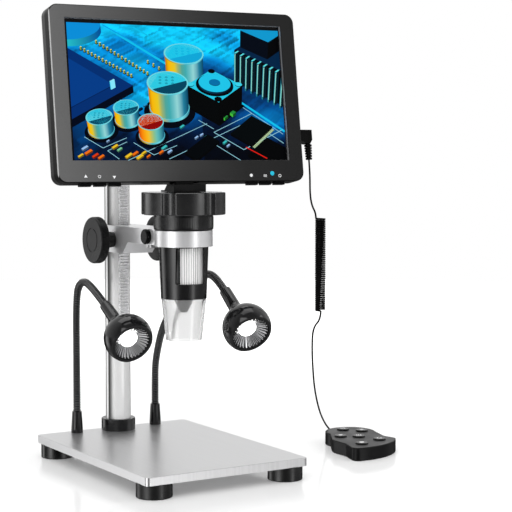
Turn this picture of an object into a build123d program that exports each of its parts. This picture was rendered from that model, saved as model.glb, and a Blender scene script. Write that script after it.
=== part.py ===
# A digital microscope with its own screen, on a rack-and-pinion stand with two gooseneck lamps
# and a wired remote.  Millimetres.  The origin is the point of the stage's top face that lies
# under the lens: +X to the right, +Y to the back, +Z up.
from build123d import *
import math
import os

os.makedirs("parts", exist_ok=True)

# ---- stage and stand ----
plate_width = 152.0
plate_depth = 214.0
plate_thickness = 7.0
plate_corner = 3.5
plate_bevel = 0.5
lens_to_front = 76.5
foot_diameter = 29.5
foot_height = 12.0
foot_inset = 14.0
foot_recess_diameter = 11.0
foot_recess_depth = 6.0
foot_rounding = 0.8
foot_screw_diameter = 4.0
foot_screw_head = 8.0
foot_screw_head_height = 2.6
foot_screw_grip = 5.0
pole_diameter = 23.0
pole_height = 290.0
pole_inset = 12.0      # pole's axis, in from the plate's back edge
pole_bolt_diameter = 8.0
pole_bolt_head = 13.0
pole_bolt_head_height = 4.0
pole_bolt_grip = 20.0
pole_bolt_room = 2.0   # left over at the end of the bolt's bore
pole_collar_diameter = 31.0
pole_collar_height = 10.8
cap_rim = 0.6
cap_height = 3.2
cap_spigot_diameter = 16.0
cap_spigot_length = 9.0
thread_gap = 0.05      # radial room round every screw
cut_margin = 1.0       # how far some cuts run on past the face they open
seat_gap = 0.2         # room beside a head in its recess

# ---- rack and pinion ----
gear_module = 0.9
pinion_teeth = 16
pressure_angle = 20.0
flank_steps = 6        # straight pieces in each tooth flank
mesh_backlash = 0.16
rack_width = 8.0
rack_tip = 15.0        # tooth tips, from the pole's axis
rack_seat = 9.5        # back of the bar, from the pole's axis
rack_bottom = 70.0
rack_top = 282.0
rack_plain_end = 14.0
rack_screw_diameter = 3.0
rack_screw_head = 5.2
rack_screw_head_height = 1.7
rack_screw_grip = 7.0
pinion_width = 8.0
shaft_diameter = 6.0
run_gap = 0.05         # radial running clearance
free_gap = 0.3         # room between pieces that move past each other

# ---- carriage ----
focus_axis_z = 176.7
carriage_width = 30.0
block_bottom = 165.2
arm_bottom = 175.8
arm_top = 189.2
block_reach = 40.5     # block's front face, ahead of the pole's axis
arm_cut_reach = 51.0   # where the arm's underside levels out, ahead of the pole's axis
block_back_wall = 4.5
block_back_rounding = 8.0
clamp_ring_wall = 3.55
clamp_slit = 2.4
clamp_slit_past = 14.0 # slit's end, behind the clamp screw
clamp_screw_back = 11.4   # clamp screw's axis, behind the ring
clamp_screw_diameter = 5.0
clamp_head_diameter = 12.6
clamp_head_thickness = 4.0
clamp_screw_length = 24.0
jaw_rib_width = 1.8
jaw_rib_height = 3.0
jaw_rib_spacing = 5.8
pole_bush_wall = 1.5
pole_bush_length = 6.0
rack_slot_room = 0.6
pinion_room = 0.8
hub_diameter = 13.6
hub_spigot_diameter = 10.0
hub_spigot_length = 8.0
knob_diameter = 41.2
knob_inner_x = 27.5
knob_thickness = 8.3
knob_rounding = 1.2
knob_groove_diameter = 20.0
knob_groove_width = 1.0
knob_groove_depth = 0.5
knob_skirt = 1.5       # how far the shaft stops short of the knob's outer face

# ---- microscope head ----
head_yaw = -4.8        # degrees, how far the head is turned in its clamp
barrel_diameter = 42.1
barrel_end_diameter = 38.8
barrel_bottom = 131.6
barrel_wall_bore = 35.2
flange_diameter = 50.4
flange_top = 202.3
flange_plate = 3.3
flange_rounding = 1.5
bulkhead_thickness = 3.0
spigot_height = 4.4    # of the clear shield, inside the barrel's mouth
window_bottom = 144.6
window_top = 174.9
window_angle = 266.8   # degrees, in the head's own frame
window_spread = 77.6
window_rounding = 1.2
drum_diameter = 34.2
drum_bottom = 142.0
drum_top = 177.0
drum_plate = 2.0
drum_rib_count = 60
drum_rib_depth = 0.7
drum_bore = 21.0
wheel_diameter = 71.0
wheel_top = 221.3
wheel_lobes = 6
wheel_lobe_phase = 15.6
wheel_valley_radius = 7.0
wheel_valley_depth = 3.4
wheel_rounding = 2.0
wheel_hub_diameter = 26.0
column_diameter = 19.0
column_bore = 16.1
column_shoulder = 196.0
cable_bore = 10.0
shield_bottom = 96.3
shield_top_diameter = 38.0
shield_bottom_diameter = 30.4
shield_wall = 1.5
nose_tip_z = 120.0
nose_shoulder_z = 129.8
nose_tip_diameter = 5.8
nose_aperture = 3.2
carrier_head_room = 21.0   # under the column's shoulder
carrier_bore = 12.0
lens_seat_z = 133.0
lens_thickness = 3.6
lens_curve_rise = 0.9
drive_pin_z = 165.0
drive_pin_diameter = 2.4
drive_pin_reach = 10.2
lens_travel = 5.0
board_thickness = 1.6
sensor_side = 5.0
sensor_height = 1.0
led_count = 8
led_circle_diameter = 25.2
led_diameter = 3.0
led_height = 2.2
led_board_diameter = 31.0

# ---- screen ----
screen_tilt = 8.7      # degrees, leaning back at rest
screen_width = 226.0
screen_height = 147.5
screen_thickness = 22.0
screen_corner = 8.0
screen_wall = 2.2
screen_back_rounding = 5.5
screen_front_rounding = 1.2
screen_parting = 10.0
hinge_y = 4.0
hinge_z = 236.0
hinge_depth = 9.6      # hinge axis, behind the screen's front face
hinge_rise = 7.5       # hinge axis, above the screen's bottom edge
border_side = 13.25    # bezel beside, above and below the opening
border_top = 10.95
border_bottom = 18.25
picture_depth = 4.0
opening_rib = 3.0
panel_lap_side = 1.75  # how far the panel reaches behind the bezel
panel_lap_top = 3.2
panel_lap_bottom = 2.5
panel_thickness = 3.2
main_board_left = -20.0   # left edge, from the screen's middle
main_board_height = 70.0
main_board_side_room = 10.8
main_board_depth = 11.4
post_inset = 10.0
post_diameter = 6.0
port_width = 9.0
port_height = 3.6
port_length = 6.0
port_spacing = 16.0
port_rise = 24.0
jack_side = 7.0
battery_height = 52.0
battery_thickness = 6.0
battery_corner = 2.0
battery_side_room = 11.8
battery_gap = 13.0     # between the battery and the board
cover_screw_inset_x = 7.0
cover_screw_inset_y = 13.75
cover_screw_diameter = 2.5
cover_screw_head = 5.6
cover_screw_head_height = 1.8
cover_boss_diameter = 7.6
cover_screw_grip = 6.0
status_led_inset = 31.4   # in from the right edge
status_led_rise = 6.85    # above the bottom edge
status_led_diameter = 3.8
status_led_proud = 0.2
tongue_width = 16.0
tongue_radius = 7.0
notch_gap = 0.4
lug_width = 4.0
hinge_pin_diameter = 4.0
neck_width = 29.5
neck_depth = 27.0
neck_front_top = 228.0
neck_back_top = 222.9
neck_slope_front = -3.2   # where the neck's top starts to fall, from the hinge axis
neck_slope_back = 2.5
screen_button_left = 24.4     # the outer buttons, in from the screen's edges
screen_button_right = 22.8
screen_button_pitch = 13.1
screen_button_corner = 0.8
screen_button_width = 10.4
screen_button_depth = 5.0
screen_button_proud = 2.4
screen_button_flange = 0.8
screen_button_flange_height = 1.2
button_gap = 0.2
button_travel = 0.8
key_board_width = 42.0

# ---- gooseneck lamps ----
lamp_x = 40.2
lamp_inset = 8.5       # lamp's foot, in from the plate's back edge
lamp_swing = 3.0       # degrees, how far each neck leans outwards from straight ahead
lamp_foot_height = 19.4
lamp_foot_base = 10.6
lamp_foot_top = 8.6
lamp_stud_diameter = 6.0
lamp_nut_size = 10.0
lamp_nut_height = 4.0
lamp_stud_end = 1.0    # stud past its nut
neck_diameter = 6.8
neck_seat_z = 8.0
knuckle_radius = 2.0   # of the joint in each neck
knuckle_width = 4.6
knuckle_gap = 0.1
neck_joint_room = 0.5
neck_insertion = 10.0
# how far forward of the lamp's foot, how high and how far towards the middle each neck's corners are
left_neck_route = [(0, 64, 0), (0, 124, 0), (10, 139, 0), (34, 139, 0), (74.1, 117.3, 1.6)]
right_neck_route = [
    (0, 40, 0), (1, 62, 0), (16, 98, 0), (52, 130, 0), (86, 149, 0), (107, 145.5, 0), (131.9, 129.3, 3.6),
]
sleeve_diameter = 10.2
sleeve_end_diameter = 11.0
sleeve_length = 22.0
bulb_radius = 20.7
bulb_centre = 50.0     # from the sleeve's open end, along the lamp's axis
bulb_rim = 59.0
bulb_shoulder = 15.0   # behind the bulb's centre
bulb_wall = 2.0
reflector_depth = 7.0
reflector_wall = 0.9
reflector_gap = 0.4
emitter_diameter = 20.8
emitter_thickness = 1.6

# ---- plug, cord and remote ----
plug_rise = -33.5      # centre of the plug's body above the screen's centre
plug_reach = 14.0
plug_height = 12.0
plug_depth = 8.0
plug_from_front = 10.0
plug_tip_diameter = 3.5
plug_tip_length = 6.0
plug_bevel = 2.0
relief_inset = 2.6     # relief axis in from the plug's outer end
relief_length = 14.0
relief_diameter = 6.8
relief_end_diameter = 5.8
relief_ribs = 6
relief_groove_depth = 0.9
relief_groove_share = 0.4   # of each rib's pitch
cord_diameter = 1.6
coil_diameter = 9.7
coil_out = 9.9         # coil's axis, to the right of the plug's lead
coil_y = -8.0
coil_top = 197.4
coil_bottom = 113.6
# corners of the leads' routes, from the middle of the coil's top and of its bottom
upper_lead_route = [(-8.9, 3.5, 21.6), (-7.1, 3.5, 10.9), (-3.4, 2.1, 3.5), (-3.4, 2.1, 0.0)]
lower_lead_route = [
    (-1.8, -3.6, 0.0), (-1.8, -3.6, -6.4), (-7.0, 1.0, -14.5), (-6.1, 3.8, -31.6),
    (-1.8, 9.0, -50.6), (7.8, 20.1, -74.2), (27.0, 40.5, -98.6), (47.4, 60.7, -115.4),
    (64.0, 75.5, -125.8), (73.7, 87.5, -129.6), (89.7, 88.5, -130.1),
]
relief_run = 13.0      # straight run of cord under the plug's relief
remote_out = 50.7      # remote's middle, to the right of the coil and behind it
remote_back = 13.0
remote_height = 12.0
remote_base_height = 4.0
remote_wall = 1.6
# the remote's bell-shaped outline: a round back, a bowed front, and the corners of the two
# flared sides with their rounding
dome_centre = (11.5, 27.5)
dome_radius = 23.5
dome_start = -28.0     # degrees, where the round back starts on the right and ends on the left
dome_end = 183.0
front_middle = (-0.6, -41.2)
left_corners = [(-26.6, 2.0, 18.0), (-26.6, -20.0, 8.0), (-33.6, -41.5, 5.5)]
right_corners = [(28.8, -20.5, 6.0), (25.6, -7.0, 9.0)]
remote_edge = 0.8
remote_button_diameter = 11.6
remote_button_proud = 1.3
remote_button_spots = [(10.6, 38.1), (22.1, 23.7), (-10.7, 11.5), (3.0, 1.9), (11.1, -19.1), (-14.3, -26.9)]
remote_flange = 0.8
remote_flange_height = 1.0
remote_board_thickness = 1.2
remote_post_spots = [(11.5, 27.5), (-4.0, -8.0), (-24.0, -33.0), (22.0, -16.0)]
entry_angle = 45.0     # where the cord comes in, round the dome
entry_rise = 6.0
entry_run = 18.6

def keep(piece, name):
    piece.part.label = name
    export_step(piece.part, f"parts/{name}.step")


def corner_radii(points):
    # the largest even arcs that the runs of a route leave room for
    radii = []
    for before, here, after in zip(points, points[1:], points[2:]):
        run_in = Vector(here) - Vector(before)
        run_out = Vector(after) - Vector(here)
        half_turn = math.radians(run_in.get_angle(run_out) / 2)
        radii.append(0.45 * min(run_in.length, run_out.length) / math.tan(half_turn))
    return radii


# ================= stand =================
plate_back = plate_depth - lens_to_front
plate_y = plate_back - plate_depth / 2
pole_y = plate_back - pole_inset
lamp_y = plate_back - lamp_inset
plate_bottom = -plate_thickness
floor_z = plate_bottom - foot_height
foot_spread_x = plate_width - 2 * foot_inset
foot_spread_y = plate_depth - 2 * foot_inset
bolt_seat = plate_bottom + pole_bolt_head_height + seat_gap

with BuildPart() as base_plate:
    with BuildSketch(Plane.XY.offset(plate_bottom)):
        with Locations((0, plate_y)):
            RectangleRounded(plate_width, plate_depth, plate_corner)
    extrude(amount=plate_thickness)
    chamfer(base_plate.faces().sort_by(Axis.Z)[-1].edges(), plate_bevel)
    with BuildSketch(Plane.XY.offset(plate_bottom)):
        with Locations((0, plate_y)):
            with GridLocations(foot_spread_x, foot_spread_y, 2, 2):
                Circle(foot_screw_diameter / 2 + thread_gap)
    extrude(amount=foot_screw_grip + seat_gap, mode=Mode.SUBTRACT)
    with BuildSketch(Plane.XY.offset(plate_bottom)):
        with Locations((0, pole_y)):
            Circle(pole_bolt_head / 2 + seat_gap)
    extrude(amount=pole_bolt_head_height + seat_gap, mode=Mode.SUBTRACT)
    with BuildSketch(Plane.XY.offset(plate_bottom)):
        with Locations((0, pole_y)):
            Circle(pole_bolt_diameter / 2 + thread_gap)
        with Locations((-lamp_x, lamp_y), (lamp_x, lamp_y)):
            Circle(lamp_stud_diameter / 2 + run_gap)
    extrude(amount=plate_thickness, mode=Mode.SUBTRACT)
keep(base_plate, "base_plate")

with BuildPart() as rubber_feet:
    with BuildSketch(Plane.XY.offset(floor_z)):
        with Locations((0, plate_y)):
            with GridLocations(foot_spread_x, foot_spread_y, 2, 2):
                Circle(foot_diameter / 2)
    extrude(amount=foot_height)
    fillet(rubber_feet.edges().group_by(Axis.Z)[0], foot_rounding)
    with BuildSketch(Plane.XY.offset(floor_z)):
        with Locations((0, plate_y)):
            with GridLocations(foot_spread_x, foot_spread_y, 2, 2):
                Circle(foot_recess_diameter / 2)
    extrude(amount=foot_recess_depth, mode=Mode.SUBTRACT)
    with BuildSketch(Plane.XY.offset(floor_z)):
        with Locations((0, plate_y)):
            with GridLocations(foot_spread_x, foot_spread_y, 2, 2):
                Circle(foot_screw_diameter / 2 + thread_gap)
    extrude(amount=foot_height, mode=Mode.SUBTRACT)
keep(rubber_feet, "rubber_feet")

foot_seat = floor_z + foot_recess_depth
rack_root = rack_tip - 2.25 * gear_module
rack_screw_heights = (rack_bottom + rack_plain_end / 2, rack_top - rack_plain_end / 2)
rack_screw_seat = rack_root - rack_screw_head_height - seat_gap
with BuildPart() as stand_screws:
    for radius, start, end in (
        (foot_screw_head / 2, foot_seat - foot_screw_head_height, foot_seat),
        (foot_screw_diameter / 2, foot_seat, plate_bottom + foot_screw_grip),
    ):
        with BuildSketch(Plane.XY.offset(start)):
            with Locations((0, plate_y)):
                with GridLocations(foot_spread_x, foot_spread_y, 2, 2):
                    Circle(radius)
        extrude(amount=end - start)
    for radius, start, end in (
        (pole_bolt_head / 2, bolt_seat - pole_bolt_head_height, bolt_seat),
        (pole_bolt_diameter / 2, bolt_seat, pole_bolt_grip),
    ):
        with BuildSketch(Plane.XY.offset(start)):
            with Locations((0, pole_y)):
                Circle(radius)
        extrude(amount=end - start)
    for height in rack_screw_heights:
        for radius, start, end in (
            (rack_screw_head / 2, rack_screw_seat, rack_screw_seat + rack_screw_head_height),
            (rack_screw_diameter / 2, rack_seat - rack_screw_grip, rack_screw_seat),
        ):
            with BuildSketch(Plane((0, pole_y - start, height), x_dir=(1, 0, 0), z_dir=(0, -1, 0))):
                Circle(radius)
            extrude(amount=end - start)
keep(stand_screws, "stand_screws")

with BuildPart() as pole:
    with BuildSketch():
        with Locations((0, pole_y)):
            Circle(pole_diameter / 2)
    extrude(amount=pole_height)
    with BuildSketch(Plane.XY.offset(rack_bottom)):
        with Locations((0, pole_y - (rack_seat + pole_diameter) / 2)):
            Rectangle(rack_width + 2 * thread_gap, pole_diameter - rack_seat)
    extrude(amount=rack_top - rack_bottom, mode=Mode.SUBTRACT)
    with BuildSketch():
        with Locations((0, pole_y)):
            Circle(pole_bolt_diameter / 2 + thread_gap)
    extrude(amount=pole_bolt_grip + pole_bolt_room, mode=Mode.SUBTRACT)
    with BuildSketch(Plane.XY.offset(pole_height - cap_spigot_length - seat_gap)):
        with Locations((0, pole_y)):
            Circle(cap_spigot_diameter / 2)
    extrude(amount=cap_spigot_length + seat_gap, mode=Mode.SUBTRACT)
    for height in rack_screw_heights:
        with BuildSketch(Plane((0, pole_y - rack_seat, height), x_dir=(1, 0, 0), z_dir=(0, 1, 0))):
            Circle(rack_screw_diameter / 2 + thread_gap)
        extrude(amount=rack_screw_grip + seat_gap, mode=Mode.SUBTRACT)
keep(pole, "pole")

with BuildPart() as pole_cap:
    with BuildSketch(Plane.XY.offset(pole_height)):
        with Locations((0, pole_y)):
            Circle(pole_diameter / 2 + cap_rim)
    extrude(amount=cap_height)
    fillet(pole_cap.edges().group_by(Axis.Z)[-1], cap_height / 2)
    with BuildSketch(Plane.XY.offset(pole_height)):
        with Locations((0, pole_y)):
            Circle(cap_spigot_diameter / 2 - run_gap)
    extrude(amount=-cap_spigot_length)
keep(pole_cap, "pole_cap")

with BuildPart() as pole_collar:
    with BuildSketch():
        with Locations((0, pole_y)):
            Circle(pole_collar_diameter / 2)
            Circle(pole_diameter / 2 + run_gap, mode=Mode.SUBTRACT)
    extrude(amount=pole_collar_height)
    chamfer(pole_collar.edges().group_by(Axis.Z)[-1].sort_by(SortBy.RADIUS)[-1], plate_bevel)
keep(pole_collar, "pole_collar")

# ================= rack and pinion =================
pitch = math.pi * gear_module
pitch_radius = gear_module * pinion_teeth / 2
pinion_y = pole_y - rack_tip + gear_module - pitch_radius
tooth_slope = math.tan(math.radians(pressure_angle))

# The rack's teeth stand at whole pitches above and below the pinion's axis.
teeth_bottom = rack_bottom + rack_plain_end
teeth_top = rack_top - rack_plain_end
first_tooth = math.ceil((teeth_bottom + pitch - focus_axis_z) / pitch)
last_tooth = math.floor((teeth_top - pitch - focus_axis_z) / pitch)
tooth_half = pitch / 4 - mesh_backlash / 4
tip_half = tooth_half - gear_module * tooth_slope
root_half = tooth_half + 1.25 * gear_module * tooth_slope
rack_outline = [(rack_seat, rack_bottom), (rack_root, rack_bottom)]
for tooth in range(first_tooth, last_tooth + 1):
    height = focus_axis_z + tooth * pitch
    rack_outline += [
        (rack_root, height - root_half),
        (rack_tip, height - tip_half),
        (rack_tip, height + tip_half),
        (rack_root, height + root_half),
    ]
rack_outline += [(rack_root, rack_top), (rack_seat, rack_top)]
with BuildPart() as gear_rack:
    with BuildSketch(Plane.YZ.offset(-rack_width / 2)):
        with BuildLine():
            Polyline(*[(pole_y - out, height) for out, height in rack_outline], close=True)
        make_face()
    extrude(amount=rack_width)
    for height in rack_screw_heights:
        with BuildSketch(Plane((0, pole_y - rack_root, height), x_dir=(1, 0, 0), z_dir=(0, 1, 0))):
            Circle(rack_screw_head / 2 + seat_gap)
        extrude(amount=rack_root - rack_screw_seat, mode=Mode.SUBTRACT)
        with BuildSketch(Plane((0, pole_y - rack_root, height), x_dir=(1, 0, 0), z_dir=(0, 1, 0))):
            Circle(rack_screw_diameter / 2 + thread_gap)
        extrude(amount=rack_root - rack_seat, mode=Mode.SUBTRACT)
keep(gear_rack, "gear_rack")

# Involute flanks.  A gap between two teeth faces the rack, whose tooth is level with the axis.
base_radius = pitch_radius * math.cos(math.radians(pressure_angle))
tip_radius = pitch_radius + gear_module
root_radius = pitch_radius - 1.25 * gear_module


def involute(radius):
    roll = math.acos(min(1.0, base_radius / radius))
    return math.tan(roll) - roll


half_tooth_angle = math.pi / (2 * pinion_teeth) - mesh_backlash / (4 * pitch_radius)
flank_offset = half_tooth_angle + involute(pitch_radius)
with BuildPart() as pinion_shaft:
    with BuildSketch(Plane.YZ.offset(-pinion_width / 2)):
        with Locations((pinion_y, focus_axis_z)):
            Circle(root_radius)
    extrude(amount=pinion_width)
    with BuildSketch(Plane.YZ.offset(-pinion_width / 2)):
        for tooth in range(pinion_teeth):
            middle = 2 * math.pi * (tooth + 0.5) / pinion_teeth
            flank = [(root_radius - gear_module / 2, middle - flank_offset)]
            for step in range(flank_steps + 1):
                radius = base_radius + (tip_radius - base_radius) * step / flank_steps
                flank.append((radius, middle - flank_offset + involute(radius)))
            outline = flank + [(radius, 2 * middle - angle) for radius, angle in reversed(flank)]
            with BuildLine():
                Polyline(
                    *[
                        (pinion_y + radius * math.cos(angle), focus_axis_z + radius * math.sin(angle))
                        for radius, angle in outline
                    ],
                    close=True,
                )
            make_face()
    extrude(amount=pinion_width)
    shaft_reach = knob_inner_x + knob_thickness - knob_skirt
    with BuildSketch(Plane.YZ.offset(-shaft_reach)):
        with Locations((pinion_y, focus_axis_z)):
            Circle(shaft_diameter / 2)
    extrude(amount=2 * shaft_reach)
keep(pinion_shaft, "pinion_shaft")

with BuildPart() as focus_knobs:
    for side in (-1, 1):
        knob_start = (side * knob_inner_x, pinion_y, focus_axis_z)
        inner_plane = Plane(knob_start, x_dir=(0, 1, 0), z_dir=(side, 0, 0))
        with BuildSketch(inner_plane):
            Circle(knob_diameter / 2)
        extrude(amount=knob_thickness)
    knob_rims = focus_knobs.edges().filter_by(GeomType.CIRCLE)
    fillet(knob_rims, knob_rounding)
    for side in (-1, 1):
        knob_start = (side * knob_inner_x, pinion_y, focus_axis_z)
        inner_plane = Plane(knob_start, x_dir=(0, 1, 0), z_dir=(side, 0, 0))
        with BuildSketch(inner_plane):
            Circle(shaft_diameter / 2 + thread_gap)
        extrude(amount=knob_thickness - knob_skirt, mode=Mode.SUBTRACT)
        with BuildSketch(inner_plane.offset(knob_thickness - knob_groove_depth)):
            Circle(knob_groove_diameter / 2 + knob_groove_width)
            Circle(knob_groove_diameter / 2, mode=Mode.SUBTRACT)
        extrude(amount=knob_groove_depth, mode=Mode.SUBTRACT)
keep(focus_knobs, "focus_knobs")

# ================= carriage =================
block_front = pole_y - block_reach
arm_cut_front = pole_y - arm_cut_reach
block_back = pole_y + pole_diameter / 2 + pole_bush_wall + block_back_wall
clamp_ring_radius = barrel_diameter / 2 + clamp_ring_wall
clamp_screw_y = clamp_ring_radius + clamp_screw_back
clamp_slit_length = clamp_screw_y + clamp_slit_past
bush_radius = pole_diameter / 2 + pole_bush_wall
ring_bore_radius = barrel_diameter / 2 + run_gap
pinion_cavity = pinion_width / 2 + pinion_room
slot_half = rack_width / 2 + rack_slot_room
slot_front = pole_y - rack_tip - rack_slot_room
clamp_z = (arm_bottom + arm_top) / 2
jaw_outer = carriage_width / 2
with BuildPart() as carriage:
    with BuildSketch(Plane.YZ.offset(-carriage_width / 2)):
        with BuildLine():
            Polyline(
                (block_back, block_bottom),
                (block_front, block_bottom),
                (arm_cut_front, arm_bottom),
                (0, arm_bottom),
                (0, arm_top),
                (block_back, arm_top),
                close=True,
            )
        make_face()
    extrude(amount=carriage_width)
    fillet(carriage.edges().filter_by(Axis.Z).group_by(Axis.Y)[-1], block_back_rounding)
    with BuildSketch(Plane.XY.offset(arm_bottom - jaw_rib_height)):
        with Locations((0, clamp_screw_y)):
            with GridLocations(1, jaw_rib_spacing, 1, 2):
                Rectangle(carriage_width - 2 * plate_bevel, jaw_rib_width)
    extrude(amount=jaw_rib_height)
    with BuildSketch(Plane.XY.offset(arm_bottom)):
        Circle(clamp_ring_radius)
    extrude(amount=arm_top - arm_bottom)
    with BuildSketch(Plane.XY.offset(arm_bottom)):
        Circle(ring_bore_radius)
    extrude(amount=arm_top - arm_bottom, mode=Mode.SUBTRACT)
    # slit between the clamp's two jaws
    with BuildSketch(Plane.XY.offset(block_bottom)):
        with Locations((0, clamp_slit_length / 2)):
            Rectangle(clamp_slit, clamp_slit_length)
    extrude(amount=arm_top - block_bottom, mode=Mode.SUBTRACT)
    # bore for the pole and its bushes, and the slot that passes the rack
    with BuildSketch(Plane.XY.offset(block_bottom)):
        with Locations((0, pole_y)):
            Circle(bush_radius)
        with Locations((0, (pole_y + slot_front) / 2)):
            Rectangle(2 * slot_half, pole_y - slot_front)
    extrude(amount=arm_top - block_bottom, mode=Mode.SUBTRACT)
    # room for the pinion, and the bore for its shaft
    with BuildSketch(Plane.YZ.offset(-pinion_cavity)):
        with Locations((pinion_y, focus_axis_z)):
            Circle(tip_radius + pinion_room)
    extrude(amount=2 * pinion_cavity, mode=Mode.SUBTRACT)
    with BuildSketch(Plane.YZ.offset(-carriage_width / 2)):
        with Locations((pinion_y, focus_axis_z)):
            Circle(shaft_diameter / 2 + free_gap)
    extrude(amount=carriage_width, mode=Mode.SUBTRACT)
    for side in (-1, 1):
        jaw_face = (side * jaw_outer, pinion_y, focus_axis_z)
        with BuildSketch(Plane(jaw_face, x_dir=(0, 1, 0), z_dir=(-side, 0, 0))):
            Circle(hub_spigot_diameter / 2 + run_gap)
        extrude(amount=hub_spigot_length + seat_gap, mode=Mode.SUBTRACT)
    # clamp screw: through the left jaw, into the right one
    with BuildSketch(Plane.YZ.offset(-carriage_width / 2)):
        with Locations((clamp_screw_y, clamp_z)):
            Circle(clamp_screw_diameter / 2 + run_gap)
    extrude(amount=clamp_screw_length + cut_margin, mode=Mode.SUBTRACT)
keep(carriage, "carriage")

with BuildPart() as carriage_bushings:
    for start in (block_bottom, arm_top - pole_bush_length):
        with BuildSketch(Plane.XY.offset(start)):
            with Locations((0, pole_y)):
                Circle(bush_radius - run_gap)
                Circle(pole_diameter / 2 + run_gap, mode=Mode.SUBTRACT)
            with Locations((0, pole_y - bush_radius)):
                Rectangle(2 * slot_half, 2 * bush_radius, mode=Mode.SUBTRACT)
        extrude(amount=pole_bush_length)
    for side in (-1, 1):
        hub_plane = Plane((side * jaw_outer, pinion_y, focus_axis_z), x_dir=(0, 1, 0), z_dir=(side, 0, 0))
        with BuildSketch(hub_plane):
            Circle(hub_diameter / 2)
        extrude(amount=knob_inner_x - free_gap - jaw_outer)
        with BuildSketch(hub_plane):
            Circle(hub_spigot_diameter / 2)
        extrude(amount=-hub_spigot_length)
    with BuildSketch(Plane.YZ.offset(-knob_inner_x)):
        with Locations((pinion_y, focus_axis_z)):
            Circle(shaft_diameter / 2 + run_gap)
    extrude(amount=2 * knob_inner_x, mode=Mode.SUBTRACT)
keep(carriage_bushings, "carriage_bushings")

with BuildPart() as clamp_screw:
    with BuildSketch(Plane.YZ.offset(-jaw_outer - free_gap)):
        with Locations((clamp_screw_y, clamp_z)):
            Circle(clamp_head_diameter / 2)
    extrude(amount=-clamp_head_thickness)
    fillet(clamp_screw.edges().group_by(Axis.X)[0], clamp_head_thickness / 4)
    with BuildSketch(Plane.YZ.offset(-jaw_outer - free_gap)):
        with Locations((clamp_screw_y, clamp_z)):
            Circle(clamp_screw_diameter / 2)
    extrude(amount=clamp_screw_length)
keep(clamp_screw, "clamp_screw")

# ================= microscope head =================
yaw = math.radians(head_yaw)
head_x = Vector(math.cos(yaw), math.sin(yaw), 0)
head_y = Vector(-math.sin(yaw), math.cos(yaw), 0)
head_plane = Plane((0, 0, 0), x_dir=head_x, z_dir=(0, 0, 1))
head_side = Plane((0, 0, 0), x_dir=head_y, z_dir=head_x)   # its x is the head's back, its y is up
flange_bottom = arm_top + free_gap
barrel_bore_radius = barrel_wall_bore / 2
bulkhead_z = barrel_bottom + spigot_height
column_radius = column_diameter / 2
hub_bore_radius = wheel_hub_diameter / 2 + run_gap
window_turn = math.radians(window_angle)
window_direction = head_x * math.cos(window_turn) + head_y * math.sin(window_turn)
window_half_width = barrel_diameter / 2 * math.sin(math.radians(window_spread / 2))

with BuildPart() as barrel_shell:
    with BuildSketch(Plane.XZ):
        with BuildLine():
            Polyline(
                (barrel_bore_radius, barrel_bottom),
                (barrel_end_diameter / 2, barrel_bottom),
                (barrel_diameter / 2, arm_bottom),
                (barrel_diameter / 2, flange_bottom),
                (flange_diameter / 2, flange_bottom),
                (flange_diameter / 2, flange_top),
                (hub_bore_radius, flange_top),
                (hub_bore_radius, flange_top - flange_plate),
                (barrel_bore_radius, flange_top - flange_plate),
                (barrel_bore_radius, bulkhead_z + bulkhead_thickness),
                (column_bore / 2, bulkhead_z + bulkhead_thickness),
                (column_bore / 2, bulkhead_z),
                (barrel_bore_radius, bulkhead_z),
                close=True,
            )
        make_face()
    revolve(axis=Axis.Z)
    flange_rim = barrel_shell.edges().filter_by(GeomType.CIRCLE).sort_by(SortBy.RADIUS)[-2:]
    fillet(flange_rim.sort_by(Axis.Z)[0], flange_rounding)
    window_plane = Plane((0, 0, (window_bottom + window_top) / 2), x_dir=(0, 0, 1), z_dir=window_direction)
    with BuildSketch(window_plane.offset(barrel_bore_radius / 2)):
        RectangleRounded(window_top - window_bottom, 2 * window_half_width, window_rounding)
    extrude(amount=barrel_diameter, mode=Mode.SUBTRACT)
keep(barrel_shell, "barrel_shell")

shield_top_radius = shield_top_diameter / 2
shield_bottom_radius = shield_bottom_diameter / 2
shield_spigot_radius = barrel_bore_radius - run_gap
with BuildPart() as clear_shield:
    with BuildSketch(Plane.XZ):
        with BuildLine():
            Polyline(
                (shield_bottom_radius - shield_wall, shield_bottom),
                (shield_bottom_radius, shield_bottom),
                (shield_top_radius, barrel_bottom),
                (shield_spigot_radius, barrel_bottom),
                (shield_spigot_radius, bulkhead_z),
                (shield_spigot_radius - shield_wall, bulkhead_z),
                (shield_top_radius - 2 * shield_wall, barrel_bottom - shield_wall),
                close=True,
            )
        make_face()
    revolve(axis=Axis.Z)
keep(clear_shield, "clear_shield")

led_board_bottom = bulkhead_z - board_thickness
with BuildPart() as led_ring:
    with BuildSketch(Plane.XY.offset(led_board_bottom)):
        Circle(led_board_diameter / 2)
        Circle(column_bore / 2 + free_gap, mode=Mode.SUBTRACT)
    extrude(amount=board_thickness)
    with BuildSketch(Plane.XY.offset(led_board_bottom - led_height)):
        with PolarLocations(led_circle_diameter / 2, led_count, start_angle=head_yaw):
            Circle(led_diameter / 2)
    extrude(amount=led_height)
    fillet(led_ring.edges().group_by(Axis.Z)[0], led_diameter / 4)
keep(led_ring, "led_ring")

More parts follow.
